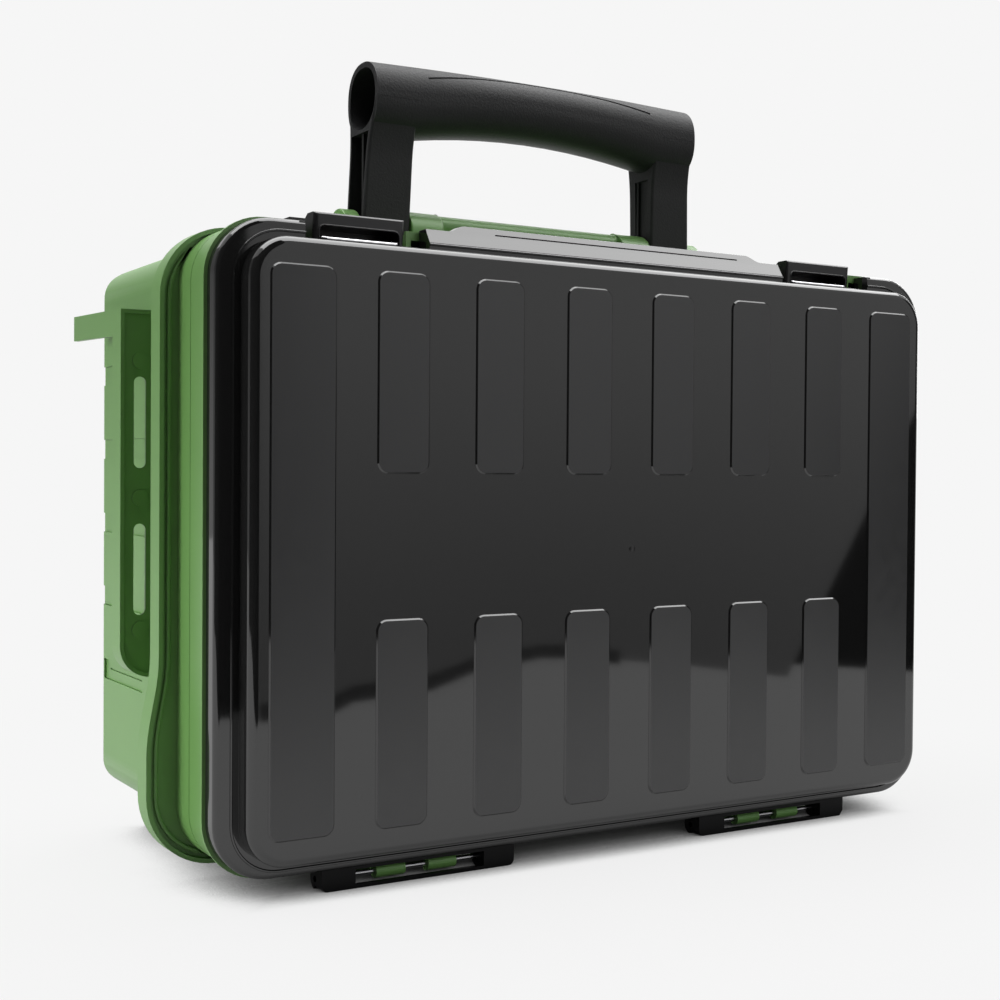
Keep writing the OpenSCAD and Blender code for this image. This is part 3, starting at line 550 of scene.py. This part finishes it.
for name, node, body, slot, material, width in dressed:
    piece = copyOf(name, node)
    softEdges(piece, width)
    place(piece, body, slot, material, node)

# what stays the frame's own solid, in its real material
steelPins = ("handle_pins", "tray_hinge_pins", "tray_latch_pins", "lid_hinge_pins", "lid_latch_pins")
looseSheets = ("tub_boards", "tray_dividers")

for nodes, material in ((steelPins, steelWire), (looseSheets, blackPolystyrene)):
    for node in nodes:
        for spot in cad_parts[node].material_slots:
            spot.material = material
print("frame pieces dressed")


# the tub: a slit low on each side, deeper side grooves, and a ridge round the flange
tub = {"flangeHalf": 234, "flareOut": 6, "flareTop": 112, "flareFull": 64, "flangeLow": 9.5,
       "flangeHigh": 320, "flangeCorner": 35, "flangeFront": -36,
       "ridgeIn": 4.2, "ridgeWidth": 2.2, "ridgeRise": 1.7, "ridgeEdge": 0.8, "ridgeSink": 0.1,
       "mouthWidth": 448, "mouthHeight": 308, "mouthCorner": 28, "mouthMiddle": 165, "mouthGap": 0.4,
       "bodySide": 222, "slitFrom": 27, "slitTo": 82, "slitLow": 91.4, "slitWidth": 0.9, "slitDepth": 2.0,
       "grooves": (253.2, 212.8, 172.4, 132.0), "grooveHalf": 5.25, "grooveFrom": 20, "grooveDepth": 2.0,
       "rearY": 100}


def flangeOutline(inset):
    p = tub
    half, radius = p["flangeHalf"] - inset, p["flangeCorner"] - inset
    wide = p["flangeHalf"] + p["flareOut"] - inset
    side = arc(half - radius, p["flangeHigh"] - inset - radius, radius, 90, 0, 12)
    side += [(half + p["flareOut"] * ease(i / 14), p["flareTop"] + (p["flareFull"] - p["flareTop"]) * i / 14)
             for i in range(15)]
    side += arc(wide - radius, p["flangeLow"] + p["flangeCorner"], radius, 0, -90, 12)
    return side + [(-x, z) for x, z in reversed(side)]


def makeTubShell():
    p = tub
    side = p["bodySide"]
    shell = copyOf("tubShell", "tub_shell")
    for way in (-1, 1):
        slit = block("slit", (way * (side - p["slitDepth"]), p["slitFrom"], p["slitLow"]),
                     (way * (side + 1), p["slitTo"], p["slitLow"] + p["slitWidth"]))
        combine(shell, slit, "DIFFERENCE")
    # the grooves in the side walls are cut a little deeper, so that their edges show
    for z in p["grooves"]:
        for way in (-1, 1):
            cut = block("cut", (way * (side - p["grooveDepth"]), p["grooveFrom"], z - p["grooveHalf"]),
                        (way * (side + 1), p["rearY"] + 1, z + p["grooveHalf"]))
            combine(shell, cut, "DIFFERENCE")
    cleanMesh(shell, 0.3)
    softEdges(shell, 0.45, 3)
    place(shell, "tub", "green_plastic", greenPolypropylene, "tub_shell")


def makeFlangeRidge():
    p = tub
    rear, inside = p["flangeFront"], p["ridgeIn"] + p["ridgeWidth"]
    front = rear - p["ridgeRise"]
    ridge = outlinePlate("flangeRidge", flangeOutline(p["ridgeIn"]), front, rear + p["ridgeSink"])
    combine(ridge, outlinePlate("inner", flangeOutline(inside), front - 2, rear + 2), "DIFFERENCE")
    mouth = roundPlate("mouth", p["mouthWidth"] + p["mouthGap"], p["mouthHeight"] + p["mouthGap"],
                       p["mouthCorner"], front - 2, rear + 2, p["mouthMiddle"])
    combine(ridge, mouth, "DIFFERENCE")
    cleanMesh(ridge, 0.3)
    bevelEdges(ridge, p["ridgeEdge"], 3, lambda a, b: max(a.y, b.y) < front + 0.05)
    smoothPiece(ridge)
    place(ridge, "tub", "green_plastic", greenPolypropylene)


makeTubShell()
makeFlangeRidge()
print("tub made")


# the side rails: a sunk front panel with three ejector marks
rail = {"side": 222, "out": 18, "low": 97, "high": 282, "front": 3, "corner": 16, "frame": 2.0, "sink": 1.1,
        "innerGap": 0.8, "markX": 229.6, "marks": (256.4, 187.6, 121.1), "markRadius": 4.1, "markRise": 0.7,
        "markDepth": 1.0}


def railOutline(inset, side):
    p = rail
    near, out, radius = p["side"] + p["innerGap"], p["side"] + p["out"] - inset, p["corner"] - inset
    points = [(near, p["high"] - inset), (out, p["high"] - inset)]
    points += arc(out - radius, p["low"] + p["corner"], radius, 0, -90, 12)
    points += [(near, p["low"] + inset)]
    return [(side * x, z) for x, z in points]


def makeRail(name, node, side):
    p = rail
    piece = copyOf(name, node)
    face = p["front"] + p["sink"]
    combine(piece, outlinePlate("sunk", railOutline(p["frame"], side), p["front"] - 2, face), "DIFFERENCE")
    for z in p["marks"]:
        middle = face - p["markRise"] + p["markDepth"] / 2
        combine(piece, stud(side * p["markX"], middle, z, p["markRadius"], p["markDepth"]), "UNION")
    softEdges(piece, 0.7, 3)
    place(piece, "tub", "green_plastic", greenPolypropylene, node)


makeRail("sideRailLeft", "side_rail_left", -1)
makeRail("sideRailRight", "side_rail_right", 1)
print("side rails made")


# the tray: a narrow lip down each side, a row of pips behind it, and a black base for each lid latch
tray = {"front": -75.2, "edgeDepth": 2.5, "side": 224, "lipRise": 0.6, "lipLow": 38, "lipHigh": 293,
        "pipRadius": 0.9, "pipRise": 1.3, "pipY": -72.2, "pipRoot": 0.2, "smallEdge": 0.3,
        "pipLow": 46, "pipPitch": 24.6, "pipCount": 11,
        "latchX": (-151, 143), "earIn": 24.4, "earOut": 27.4, "earRadius": 4.0, "pivotY": -63.5,
        "pivotZ": 315.2, "earFront": 1.6, "earRear": 0.6, "clearSide": 0.15, "clearFront": 0.4, "clearTop": 2,
        "seatZ": 309.4, "seatHalf": 29.6, "seatFrom": -72.5, "seatTo": -57.2, "seatSink": 0.05,
        "seatRise": 0.55, "seatCorner": 2.5, "pinRadius": 1.25, "pinGap": 0.02}


def makeTrayFrame():
    p = tray
    piece = copyOf("trayFrame", "tray_frame")
    # the frame's green ears make room for the black ones
    reach = p["earRadius"] + p["clearFront"]
    for x in p["latchX"]:
        for side in (-1, 1):
            ear = block("ear", (x + side * (p["earIn"] - p["clearSide"]), p["pivotY"] - reach, p["seatZ"]),
                        (x + side * (p["earOut"] + p["clearSide"]), p["pivotY"] + reach,
                         p["pivotZ"] + p["earRadius"] + p["clearTop"]))
            combine(piece, ear, "DIFFERENCE")
    # the lip down each side, next to the lid
    for side in (-1, 1):
        strip = block("strip", (side * (p["side"] - 1), p["front"], p["lipLow"]),
                      (side * (p["side"] + p["lipRise"]), p["front"] + p["edgeDepth"], p["lipHigh"]))
        bevelEdges(strip, p["smallEdge"], 2, lambda a, b: min(abs(a.x), abs(b.x)) > p["side"])
        combine(piece, strip, "UNION")
    cleanMesh(piece, 0.3)
    softEdges(piece, 0.4)
    place(piece, "tray", "green_plastic", greenPolypropylene, "tray_frame")


def makePips():
    p = tray
    end = p["side"] + p["pipRise"]
    pips = []
    for side in (-1, 1):
        for i in range(p["pipCount"]):
            x, z = side * p["side"], p["pipLow"] + i * p["pipPitch"]
            pip = rod("pip", x - side * p["pipRoot"], x + side * p["pipRise"], p["pipY"], z,
                      p["pipRadius"], 12)
            bevelEdges(pip, p["smallEdge"], 2, lambda a, b: min(abs(a.x), abs(b.x)) > end - 0.05)
            pips.append(pip)
    piece = join(*pips)
    piece.name = "trayPips"
    cleanMesh(piece, 0.2)
    smoothPiece(piece)
    place(piece, "tray", "green_plastic", greenPolypropylene)


def makeLatchBases():
    # each latch's own base: two ears on a plate
    p = tray
    y, z, r, floor = p["pivotY"], p["pivotZ"], p["earRadius"], p["seatZ"]
    outline = [(y - r - p["earFront"], floor)] + arc(y, z, r, 180, 0, 16) + [(y + r + p["earRear"], floor)]
    bases = []
    for x in p["latchX"]:
        base = block("base", (x - p["seatHalf"], p["seatFrom"], floor - p["seatSink"]),
                     (x + p["seatHalf"], p["seatTo"], floor + p["seatRise"]))
        bevelEdges(base, p["seatCorner"], 4, lambda a, b: abs(a.x - b.x) < 0.01 and abs(a.y - b.y) < 0.01)
        for side in (-1, 1):
            x0, x1 = sorted((x + side * p["earIn"], x + side * p["earOut"]))
            ear = profilePlate("ear", outline, x0, x1)
            combine(ear, rod("hole", x0 - 1, x1 + 1, y, z, p["pinRadius"] + p["pinGap"], 24), "DIFFERENCE")
            combine(base, ear, "UNION")
        bases.append(base)
    piece = join(*bases)
    piece.name = "lidLatchBases"
    cleanMesh(piece, 0.2)
    softEdges(piece, 0.35)
    place(piece, "tray", "black_plastic", blackAcetal)


makeTrayFrame()
makePips()
makeLatchBases()
print("tray made")


# the lid's latch levers: a raised front with a long slot, and a wire bail that lies in it
lever = {"half": 24, "front": -84.8, "low": 311.0, "frontHigh": 324.0, "frontDepth": 9, "frontEdge": 0.8,
         "stepBefore": 1.5, "stepBehind": 1.2, "rearHigh": 322.0, "rearEnd": 1.5, "lowEnd": 3,
         "pivotY": -63.5, "pivotZ": 315.2, "endRadius": 5.0, "cornerRadius": 2.6,
         "slotHalf": 21.2, "slotHigh": 318.0, "slotMiddle": 306, "slotCorner": 3.0, "slotDepth": 15,
         "pinRadius": 1.3, "beadRadius": 0.42, "beadGap": 0.1, "beadFoot": 0.8,
         "stubRadius": 1.15, "stubHalf": 23.2, "stubIn": 1.2, "kneeFrom": 1.2, "kneeOut": 0.3, "bend": 2.2,
         "wireRadius": 1.1, "wireY": -85.8, "wireZ": 311.4, "bailY": -77.0, "bailZ": 314.5, "armX": 19.8}


def makeLever(name, node, x):
    p = lever
    y0, high, rear = p["front"], p["frontHigh"], p["front"] + p["frontDepth"]
    outline = [(y0, p["low"]), (y0, high - p["frontEdge"]), (y0 + p["frontEdge"], high),
               (rear - p["stepBefore"], high), (rear + p["stepBehind"], p["rearHigh"]),
               (p["pivotY"] - p["rearEnd"], p["rearHigh"])]
    outline += arc(p["pivotY"], p["pivotZ"], p["endRadius"], 50, -90, 12)
    outline += [(p["pivotY"] - p["lowEnd"], p["low"])]
    body = profilePlate(name, outline, x - p["half"], x + p["half"])
    bevelEdges(body, p["cornerRadius"], 5, lambda a, b: max(a.y, b.y) < y0 + p["frontEdge"] + 0.1
               and abs(a.x - b.x) < 0.01 and abs(a.z - b.z) > 2)
    slot = roundPlate("slot", 2 * p["slotHalf"], 2 * (p["slotHigh"] - p["slotMiddle"]), p["slotCorner"],
                      y0 - 1, y0 + p["slotDepth"], p["slotMiddle"], x, 8)
    combine(body, slot, "DIFFERENCE")
    reach = p["half"] + 1
    combine(body, rod("bore", x - reach, x + reach, p["pivotY"], p["pivotZ"], p["pinRadius"]), "DIFFERENCE")
    seat = rod("seat", x - p["stubHalf"], x + p["stubHalf"], p["bailY"], p["bailZ"], p["stubRadius"], 20)
    combine(body, seat, "DIFFERENCE")
    cleanMesh(body, 0.3)
    softEdges(body, 0.5, 3)
    place(body, node, "black_plastic", blackAcetal, node)


def makeSlotBead(name, body, x):
    # a fine bead round the lever's slot
    p = lever
    reach, corner, top = p["slotHalf"] + p["beadGap"], p["slotCorner"], p["slotHigh"] + p["beadGap"]
    outline = [(-reach, p["low"] + p["beadFoot"])]
    outline += arc(-reach + corner, top - corner, corner, 180, 90, 8)
    outline += arc(reach - corner, top - corner, corner, 90, 0, 8)
    outline += [(reach, p["low"] + p["beadFoot"])]
    bead = wire(name, [(x + a, p["front"], b) for a, b in outline], p["beadRadius"])
    smoothPiece(bead, 60)
    place(bead, body, "black_plastic", blackAcetal)


def makeBail(name, node, x):
    # stubs, arms and front wire in one bent wire
    p = lever
    y0, z0, y1, z1, arm, bend = p["bailY"], p["bailZ"], p["wireY"], p["wireZ"], p["armX"], p["bend"]
    drop = Vector((0, y1 - y0, z1 - z0)).normalized()
    half = [(p["half"] - p["stubIn"], y0, z0), (arm + p["kneeFrom"], y0, z0),
            (arm + p["kneeOut"], y0 + p["kneeOut"] * drop.y, z0 + p["kneeOut"] * drop.z),
            (arm, y0 + p["kneeFrom"] * drop.y, z0 + p["kneeFrom"] * drop.z)]
    for i in range(7):
        turn = i / 6 * math.pi / 2
        back = bend * (1 - math.sin(turn))
        half.append((arm - bend * (1 - math.cos(turn)), y1 - back * drop.y, z1 - back * drop.z))
    path = [(x + a, b, c) for a, b, c in half] + [(x - a, b, c) for a, b, c in reversed(half)]
    bail = wire(name, path, p["wireRadius"])
    smoothPiece(bail, 60)
    place(bail, node, "steel", steelWire, node)


for side, x in (("left", tray["latchX"][0]), ("right", tray["latchX"][1])):
    leverName = "latchLever" + side.title()
    makeLever(leverName, "latch_lever_" + side, x)
    makeSlotBead(leverName + "Bead", "latch_lever_" + side, x)
    makeBail("latchBail" + side.title(), "latch_bail_" + side, x)
print("latches made")


# the hinge leaves: rounded under each end
leaf = {"hingeX": 114.5, "half": 54, "endRound": 3.2}


def makeLeaf(name, node, middle):
    p = leaf
    piece = copyOf(name, node)
    bevelEdges(piece, p["endRound"], 4, lambda a, b: abs(abs(a.x - middle) - p["half"]) < 0.05
               and abs(a.x - b.x) < 0.05 and max(a.z, b.z) < 0.05)
    cleanMesh(piece, 0.3)
    softEdges(piece, 0.5)
    # the leaves take the acetal whose darker colour is painted shade
    place(piece, "lid", "black_plastic", leafAcetalPaintedShade, node)


makeLeaf("hingeLeafLeft", "hinge_leaf_left", -leaf["hingeX"])
makeLeaf("hingeLeafRight", "hinge_leaf_right", leaf["hingeX"])
print("hinge leaves made")


# the handle: a hollow oval grip, two channel legs that flow into it, and a fine groove in its upper front
handle = {"gripY": 3.5, "gripDepth": 36.5, "gripLow": 384.0, "gripHigh": 425.0, "endDrop": 1.7,
          "gripEnd": 107, "square": 0.86, "arch": 7.5, "archHalf": 81.5, "wall": 3.0,
          "stations": (107, 104, 98, 90, 84, 81.5, 78, 72, 60, 45, 30, 15, 0),
          "boreRings": (77, 90, 108.5), "coreZ": 404.5, "coreHeight": 18, "coreDepth": 20, "coreHalf": 90,
          "pivotY": 6, "pivotZ": 333, "legOut": 110.5, "legIn": 82, "legDepth": 22, "legCorner": 1.6,
          "leanOut": 3.5, "leanIn": 1.5, "leanFront": 3.5, "endRadius": 11, "endFlat": 0.3,
          "endSteps": (-10.8, -9.5, -7.5, -4, 0), "legSteps": (345, 356, 366), "blendFirst": 370,
          "blendStep": 2.5, "blendCount": 14, "coreSides": 40,
          "blendFrom": 368, "blendTo": 402, "blendFront": 6.4, "blendRear": 4.2, "blendPower": 2.2,
          "channelSide": 116, "channelOver": 1.5, "hub": 7, "hubIn": 80, "hubOut": 110.4, "pin": 3.05,
          "pinIn": 75, "pinOut": 115, "web": 2, "webIn": 70, "webOut": 106.3, "webShift": 1.5, "webHigh": 396,
          "panelLow": 343, "panelHigh": 379, "panelShift": 2.2, "panelFace": 0.9,
          "panels": ((6.6, 1.0), (4.4, 2.5)),
          "grooveHalf": 75, "grooveAngle": 31, "grooveArch": 25, "grooveRadius": 0.75, "grooveSteps": 44}


def gripPoint(x, angle, inset=0):
    # a point on the grip's squarish oval section, by its angle from the rear
    p = handle
    high = p["gripHigh"] - p["endDrop"] * (x / p["gripEnd"]) ** 2 - inset
    low = p["gripLow"] + inset
    if abs(x) < p["archHalf"]:
        low += p["arch"] * (1 - (x / p["archHalf"]) ** 2)
    middle, tall, deep = (high + low) / 2, (high - low) / 2, p["gripDepth"] / 2 - inset
    c, s = math.cos(angle), math.sin(angle)
    return (x, p["gripY"] + deep * math.copysign(abs(c) ** p["square"], c),
            middle + tall * math.copysign(abs(s) ** p["square"], s))


def gripRing(x, inset=0, count=64):
    return [gripPoint(x, 2 * math.pi * i / count, inset) for i in range(count)]


def legRing(z, side, inset=0, outer=None):
    # a section across a leg, with small round corners
    p = handle
    up = max((z - p["pivotZ"]) / (p["coreZ"] - p["pivotZ"]), 0)
    depth = p["legDepth"] / 2
    if z < p["pivotZ"]:
        depth = math.sqrt(max(p["endRadius"] ** 2 - (p["pivotZ"] - z) ** 2, p["endFlat"]))
    blend = min(max((z - p["blendFrom"]) / (p["blendTo"] - p["blendFrom"]), 0), 1) ** p["blendPower"]
    y0 = p["pivotY"] - depth - p["leanFront"] * up - p["blendFront"] * blend + inset
    y1 = p["pivotY"] + depth + p["blendRear"] * blend - inset
    x0, x1 = p["legIn"] - p["leanIn"] * up + inset, (outer or p["legOut"] - p["leanOut"] * up)
    r = min(p["legCorner"], (y1 - y0) / 2.2)
    corners = [(x1 - r, y1 - r, 0), (x0 + r, y1 - r, 90), (x0 + r, y0 + r, 180), (x1 - r, y0 + r, 270)]
    ring = []
    for cx, cy, start in corners:
        ring += [(side * a, b, z) for a, b in arc(cx, cy, r, start, start + 90, 3)]
    return ring


def hollowLeg(grip, side, steps):
    # the leg is a channel, open outwards, with a web and a hub in it; the grip's end is bored out
    p = handle
    y, z = p["pivotY"], p["pivotZ"]
    bore = loft("bore", [gripRing(side * x, p["wall"]) for x in p["boreRings"]])
    combine(grip, bore, "DIFFERENCE")
    top = p["gripLow"] + p["channelOver"]
    rings = [legRing(height, side, p["wall"], p["channelSide"]) for height in steps[2:] if height < top]
    channel = loft("channel", rings)
    front = y - p["webShift"] - p["web"] / 2
    web = block("web", (side * p["webIn"], front, z), (side * p["webOut"], front + p["web"], p["webHigh"]))
    combine(channel, web, "DIFFERENCE")
    combine(channel, rod("hub", side * p["hubIn"], side * p["hubOut"], y, z, p["hub"], 40), "DIFFERENCE")
    combine(grip, channel, "DIFFERENCE")
    combine(grip, rod("pin", side * p["pinIn"], side * p["pinOut"], y, z, p["pin"], 40), "DIFFERENCE")
    # a stepped panel sunk in the leg's inner side
    for reach, sink in p["panels"]:
        middle = y - p["panelShift"]
        panel = block("panel", (side * p["webIn"], middle - reach, p["panelLow"]),
                      (side * (p["legIn"] - p["panelFace"] + sink), middle + reach, p["panelHigh"]))
        combine(grip, panel, "DIFFERENCE")


def cutGroove(grip):
    # the groove rises in an arc, by angles to a tenth of a degree
    p = handle
    path = []
    for i in range(p["grooveSteps"] + 1):
        x = -p["grooveHalf"] + 2 * p["grooveHalf"] * i / p["grooveSteps"]
        angle = p["grooveAngle"] + p["grooveArch"] * math.cos(math.pi / 2 * x / p["grooveHalf"])
        path.append(gripPoint(x, 2 * math.pi * round(10 * (180 - angle)) / 3600))
    combine(grip, wire("groove", path, p["grooveRadius"]), "DIFFERENCE")


def makeHandle():
    p = handle
    stations = [-x for x in p["stations"]] + list(reversed(p["stations"][:-1]))
    grip = loft("handle", [gripRing(x) for x in stations])
    steps = [p["pivotZ"] + z for z in p["endSteps"]] + list(p["legSteps"])
    steps += [p["blendFirst"] + p["blendStep"] * i for i in range(p["blendCount"])]
    for side in (-1, 1):
        combine(grip, loft("leg", [legRing(z, side) for z in steps]), "UNION")
    for side in (-1, 1):
        hollowLeg(grip, side, steps)
    turns = [2 * math.pi * i / p["coreSides"] for i in range(p["coreSides"])]
    oval = [(p["gripY"] + p["coreDepth"] / 2 * math.cos(a), p["coreZ"] + p["coreHeight"] / 2 * math.sin(a))
            for a in turns]
    core = loft("core", [[(x, y, z) for y, z in oval] for x in (-p["coreHalf"], p["coreHalf"])])
    combine(grip, core, "DIFFERENCE")
    cutGroove(grip)
    cleanMesh(grip, 0.3)
    softEdges(grip, 0.5, angle=40, smooth=32)
    place(grip, "handle", "black_plastic", blackNylon, "handle")


makeHandle()
print("handle made")


# floor, light and camera
# the paper ends in front of the case, where a grey wall stands; flags stand to the left, right and back
# blend, reach and painted shadow edges are metres; each painted shadow has a value for eye and one for gloss
studio = {"paper": "#f6f6f6", "mattPaper": "#f2f2f2", "dimPaper": "#b8b8b8", "floorFar": 6000,
          "paperEdge": [(-900, -420), (-300, -520), (-8, -590), (67, -608), (104, -650), (200, -682),
                        (246, -724), (297, -771), (418, -836), (444, -822), (465, -753), (510, -675),
                        (529, -564), (569, -527), (572, -505), (552, -478), (640, -380), (900, -200)],
          "blendNear": 0.15, "blendFar": 0.75, "blendLow": 0.9,
          "shadowReach": (0.06, 0.14), "shadowFull": (0.52, 0.95),
          "paintedShadowX": (0.15, 0.215), "paintedShadowY": (0.045, 0.1), "paintedShadowTone": 0.12, "roomLight": 0.12}


def makePaper():
    p = studio
    material, tree, coords = newMaterial("matt paper white")
    paths = addNode(tree, "ShaderNodeLightPath")
    inGloss = paths.outputs["Is Glossy Ray"]
    # near the case the paper is lit, further off it blends into the background
    spread = addNode(tree, "ShaderNodeVectorMath", {"operation": "LENGTH"}, in0=coords)
    blend = addNode(tree, "ShaderNodeMapRange", {"interpolation_type": "SMOOTHSTEP"}, Value=spread.outputs[1],
                    From_Min=p["blendNear"], From_Max=p["blendFar"], To_Min=p["blendLow"], To_Max=1.0)
    matt = addNode(tree, "ShaderNodeBsdfDiffuse", Color=colour(p["mattPaper"]))
    # a painted shadow, from ambient occlusion, darkens the glow under the case; in gloss it is seen wider
    reach = addNode(tree, "ShaderNodeMapRange", Value=inGloss, To_Min=p["shadowReach"][0],
                    To_Max=p["shadowReach"][1])
    full = addNode(tree, "ShaderNodeMapRange", Value=inGloss, To_Min=p["shadowFull"][0],
                   To_Max=p["shadowFull"][1])
    opened = addNode(tree, "ShaderNodeAmbientOcclusion", {"samples": 8}, Distance=reach.outputs[0])
    shade = addNode(tree, "ShaderNodeMapRange", {"interpolation_type": "SMOOTHSTEP"},
                    Value=opened.outputs["AO"], From_Max=full.outputs[0])
    # right under the case a painted shadow dims the paper's glow nearly to dark
    spot = addNode(tree, "ShaderNodeSeparateXYZ", Vector=coords)
    edges = []
    for axis, (inside, outside) in enumerate((p["paintedShadowX"], p["paintedShadowY"])):
        off = addNode(tree, "ShaderNodeMath", {"operation": "ABSOLUTE"}, in0=spot.outputs[axis])
        edge = addNode(tree, "ShaderNodeMapRange", {"interpolation_type": "SMOOTHSTEP"}, Value=off.outputs[0],
                       From_Min=inside, From_Max=outside, To_Min=p["paintedShadowTone"])
        edges.append(edge.outputs[0])
    under = addNode(tree, "ShaderNodeMath", {"operation": "MAXIMUM"}, in0=edges[0], in1=edges[1])
    level = addNode(tree, "ShaderNodeMath", {"operation": "MULTIPLY"}, in0=shade.outputs[0],
                    in1=under.outputs[0])
    glow = addNode(tree, "ShaderNodeEmission", Color=colour(p["paper"]), Strength=level.outputs[0])
    seen = addNode(tree, "ShaderNodeMixShader", in0=blend.outputs[0], in1=matt.outputs[0],
                   in2=glow.outputs[0])
    dim = addNode(tree, "ShaderNodeBsdfDiffuse", Color=colour(p["dimPaper"]))
    final = addNode(tree, "ShaderNodeMixShader", in0=paths.outputs["Is Diffuse Ray"], in1=seen.outputs[0],
                    in2=dim.outputs[0])
    finishMaterial(tree, final.outputs[0])
    return material


def makeFloor():
    far, edge = studio["floorFar"], studio["paperEdge"]
    outline = [(-far, edge[0][1])] + edge + [(far, edge[-1][1]), (far, far), (-far, far)]
    deselectAll()
    bpy.ops.mesh.primitive_circle_add(vertices=len(outline), radius=1, fill_type="NGON")
    floor = bpy.context.object
    floor.name = "studioFloor"
    for vert, (x, y) in zip(floor.data.vertices, outline):
        vert.co = (x * mm, y * mm, 0)
    floor.data.materials.append(makePaper())


def card(name, foot, low, high, lowTone, highTone, rise, top=None):
    # a card that only shows in gloss: its tone changes from the floor up to rise
    deselectAll()
    bpy.ops.mesh.primitive_grid_add(x_subdivisions=len(foot) - 1, y_subdivisions=1, size=1)
    wall = bpy.context.object
    wall.name = name
    points = [(x, y, low) for x, y in foot] + [(x, y, high) for x, y in top or foot]
    for vert, point in zip(wall.data.vertices, points):
        vert.co = [c * mm for c in point]
    material, tree, coords = newMaterial(name + " cloth")
    height = addNode(tree, "ShaderNodeSeparateXYZ", Vector=coords)
    tone = addNode(tree, "ShaderNodeMapRange", {"interpolation_type": "SMOOTHSTEP"}, Value=height.outputs[2],
                   From_Min=0.0, From_Max=rise * mm, To_Min=lowTone, To_Max=highTone)
    glow = addNode(tree, "ShaderNodeEmission", Color=colour("#ffffff"), Strength=tone.outputs[0])
    finishMaterial(tree, glow.outputs[0])
    wall.data.materials.append(material)
    wall.visible_camera = wall.visible_diffuse = wall.visible_shadow = False
    wall.visible_transmission = wall.visible_volume_scatter = False


def makeCards():
    edge = studio["paperEdge"][2:11]
    # the wall's right edge leans outwards; the bright card hangs above
    foot = edge + [(500, -690), (534, -570)]
    card("greyWall", foot, low=4, high=900, lowTone=0.30, highTone=0.60, rise=420,
         top=foot[:-1] + [(850, -310)])
    card("rightFlag", [(560, -760), (700, -560), (820, -360), (1000, -150)], low=0, high=640, lowTone=0.0,
         highTone=0.04, rise=600)
    card("ceilingCard", [(-900, -1300), (1900, -1300)], low=1700, high=1700, lowTone=5.2, highTone=5.2,
         rise=100, top=[(-900, 700), (1900, 700)])
    # a dark foot stands just inside the wall
    card("wallFoot", [(x * 0.995, y * 0.995) for x, y in edge], low=0, high=15, lowTone=0.06, highTone=0.06,
         rise=10)
    card("backFlag", [(-2600, -300), (-2600, 3200), (-700, 3700)], low=0, high=2500, lowTone=0.42,
         highTone=0.16, rise=1100)
    card("leftFlag", [(-1500, 100), (-1300, -500), (-900, -700), (-420, -620), (-8, -592)], low=0, high=1500,
         lowTone=0.0, highTone=0.03, rise=800)


def makeWorld():
    # a bright backdrop for the eye and in gloss, and little light from it
    world = bpy.data.worlds.new("studio")
    bpy.context.scene.world = world
    world.use_nodes = True
    tree = world.node_tree
    tree.nodes.clear()
    paths = addNode(tree, "ShaderNodeLightPath").outputs
    seen = addNode(tree, "ShaderNodeMath", {"operation": "MAXIMUM"}, in0=paths["Is Camera Ray"],
                   in1=paths["Is Glossy Ray"])
    seen = addNode(tree, "ShaderNodeMath", {"operation": "MAXIMUM"}, in0=seen.outputs[0],
                   in1=paths["Is Transmission Ray"])
    dim = addNode(tree, "ShaderNodeBackground", Color=colour("#ffffff"), Strength=studio["roomLight"])
    bright = addNode(tree, "ShaderNodeBackground", Color=colour(studio["paper"]), Strength=1.0)
    mix = addNode(tree, "ShaderNodeMixShader", in0=seen.outputs[0], in1=dim.outputs[0], in2=bright.outputs[0])
    addNode(tree, "ShaderNodeOutputWorld", Surface=mix.outputs[0])


def softbox(name, location, target, width, height, watts, mirrored=False, spread=180):
    # sizes and places in metres, spread in degrees
    light = bpy.data.lights.new(name, "AREA")
    light.shape = "RECTANGLE"
    light.size, light.size_y, light.energy = width, height, watts
    light.spread = math.radians(spread)
    lamp = bpy.data.objects.new(name, light)
    bpy.context.scene.collection.objects.link(lamp)
    lamp.location = location
    lamp.rotation_euler = (Vector(target) - Vector(location)).to_track_quat("-Z", "Y").to_euler()
    lamp.visible_glossy = mirrored


def makeSoftboxes():
    softbox("leftSoftbox", (-1.6, 0.25, 0.25), (-0.22, 0, 0.0), width=1.0, height=0.5, watts=1.9, spread=44)
    softbox("topSoftbox", (0.0, 0.25, 1.69), (0, 0, 0.1), width=1.9, height=1.0, watts=26)
    softbox("rearSoftbox", (1.6, 1.6, 0.8), (0, 0, 0.15), width=1.2, height=1.0, watts=14, mirrored=True)
    softbox("frontSoftbox", (0.5, -1.9, 0.9), (0, 0, 0.2), width=1.2, height=1.0, watts=11)


# the photo's camera: angles in radians, place in metres
view = {"yaw": 0.5445, "pitch": -0.0187, "roll": 0.0073, "lens": 54.4, "film": 36,
        "place": (-0.4686, -0.7406, 0.202)}


def makeCamera():
    yaw, pitch, roll = view["yaw"], view["pitch"], view["roll"]
    x, y, z = view["place"]
    ahead = Vector((math.sin(yaw) * math.cos(pitch), math.cos(yaw) * math.cos(pitch), math.sin(pitch)))
    level = Vector((math.cos(yaw), -math.sin(yaw), 0))
    above = level.cross(ahead)
    right = level * math.cos(roll) + above * math.sin(roll)
    up = -level * math.sin(roll) + above * math.cos(roll)
    data = bpy.data.cameras.new("camera")
    data.lens, data.sensor_width = view["lens"], view["film"]
    camera = bpy.data.objects.new("camera", data)
    bpy.context.scene.collection.objects.link(camera)
    camera.matrix_world = Matrix(((right.x, up.x, -ahead.x, x), (right.y, up.y, -ahead.y, y),
                                  (right.z, up.z, -ahead.z, z), (0, 0, 0, 1)))
    bpy.context.scene.camera = camera


makeFloor()
makeCards()
makeWorld()
makeSoftboxes()
makeCamera()
bpy.context.scene.view_settings.view_transform = "Standard"
print("studio made")
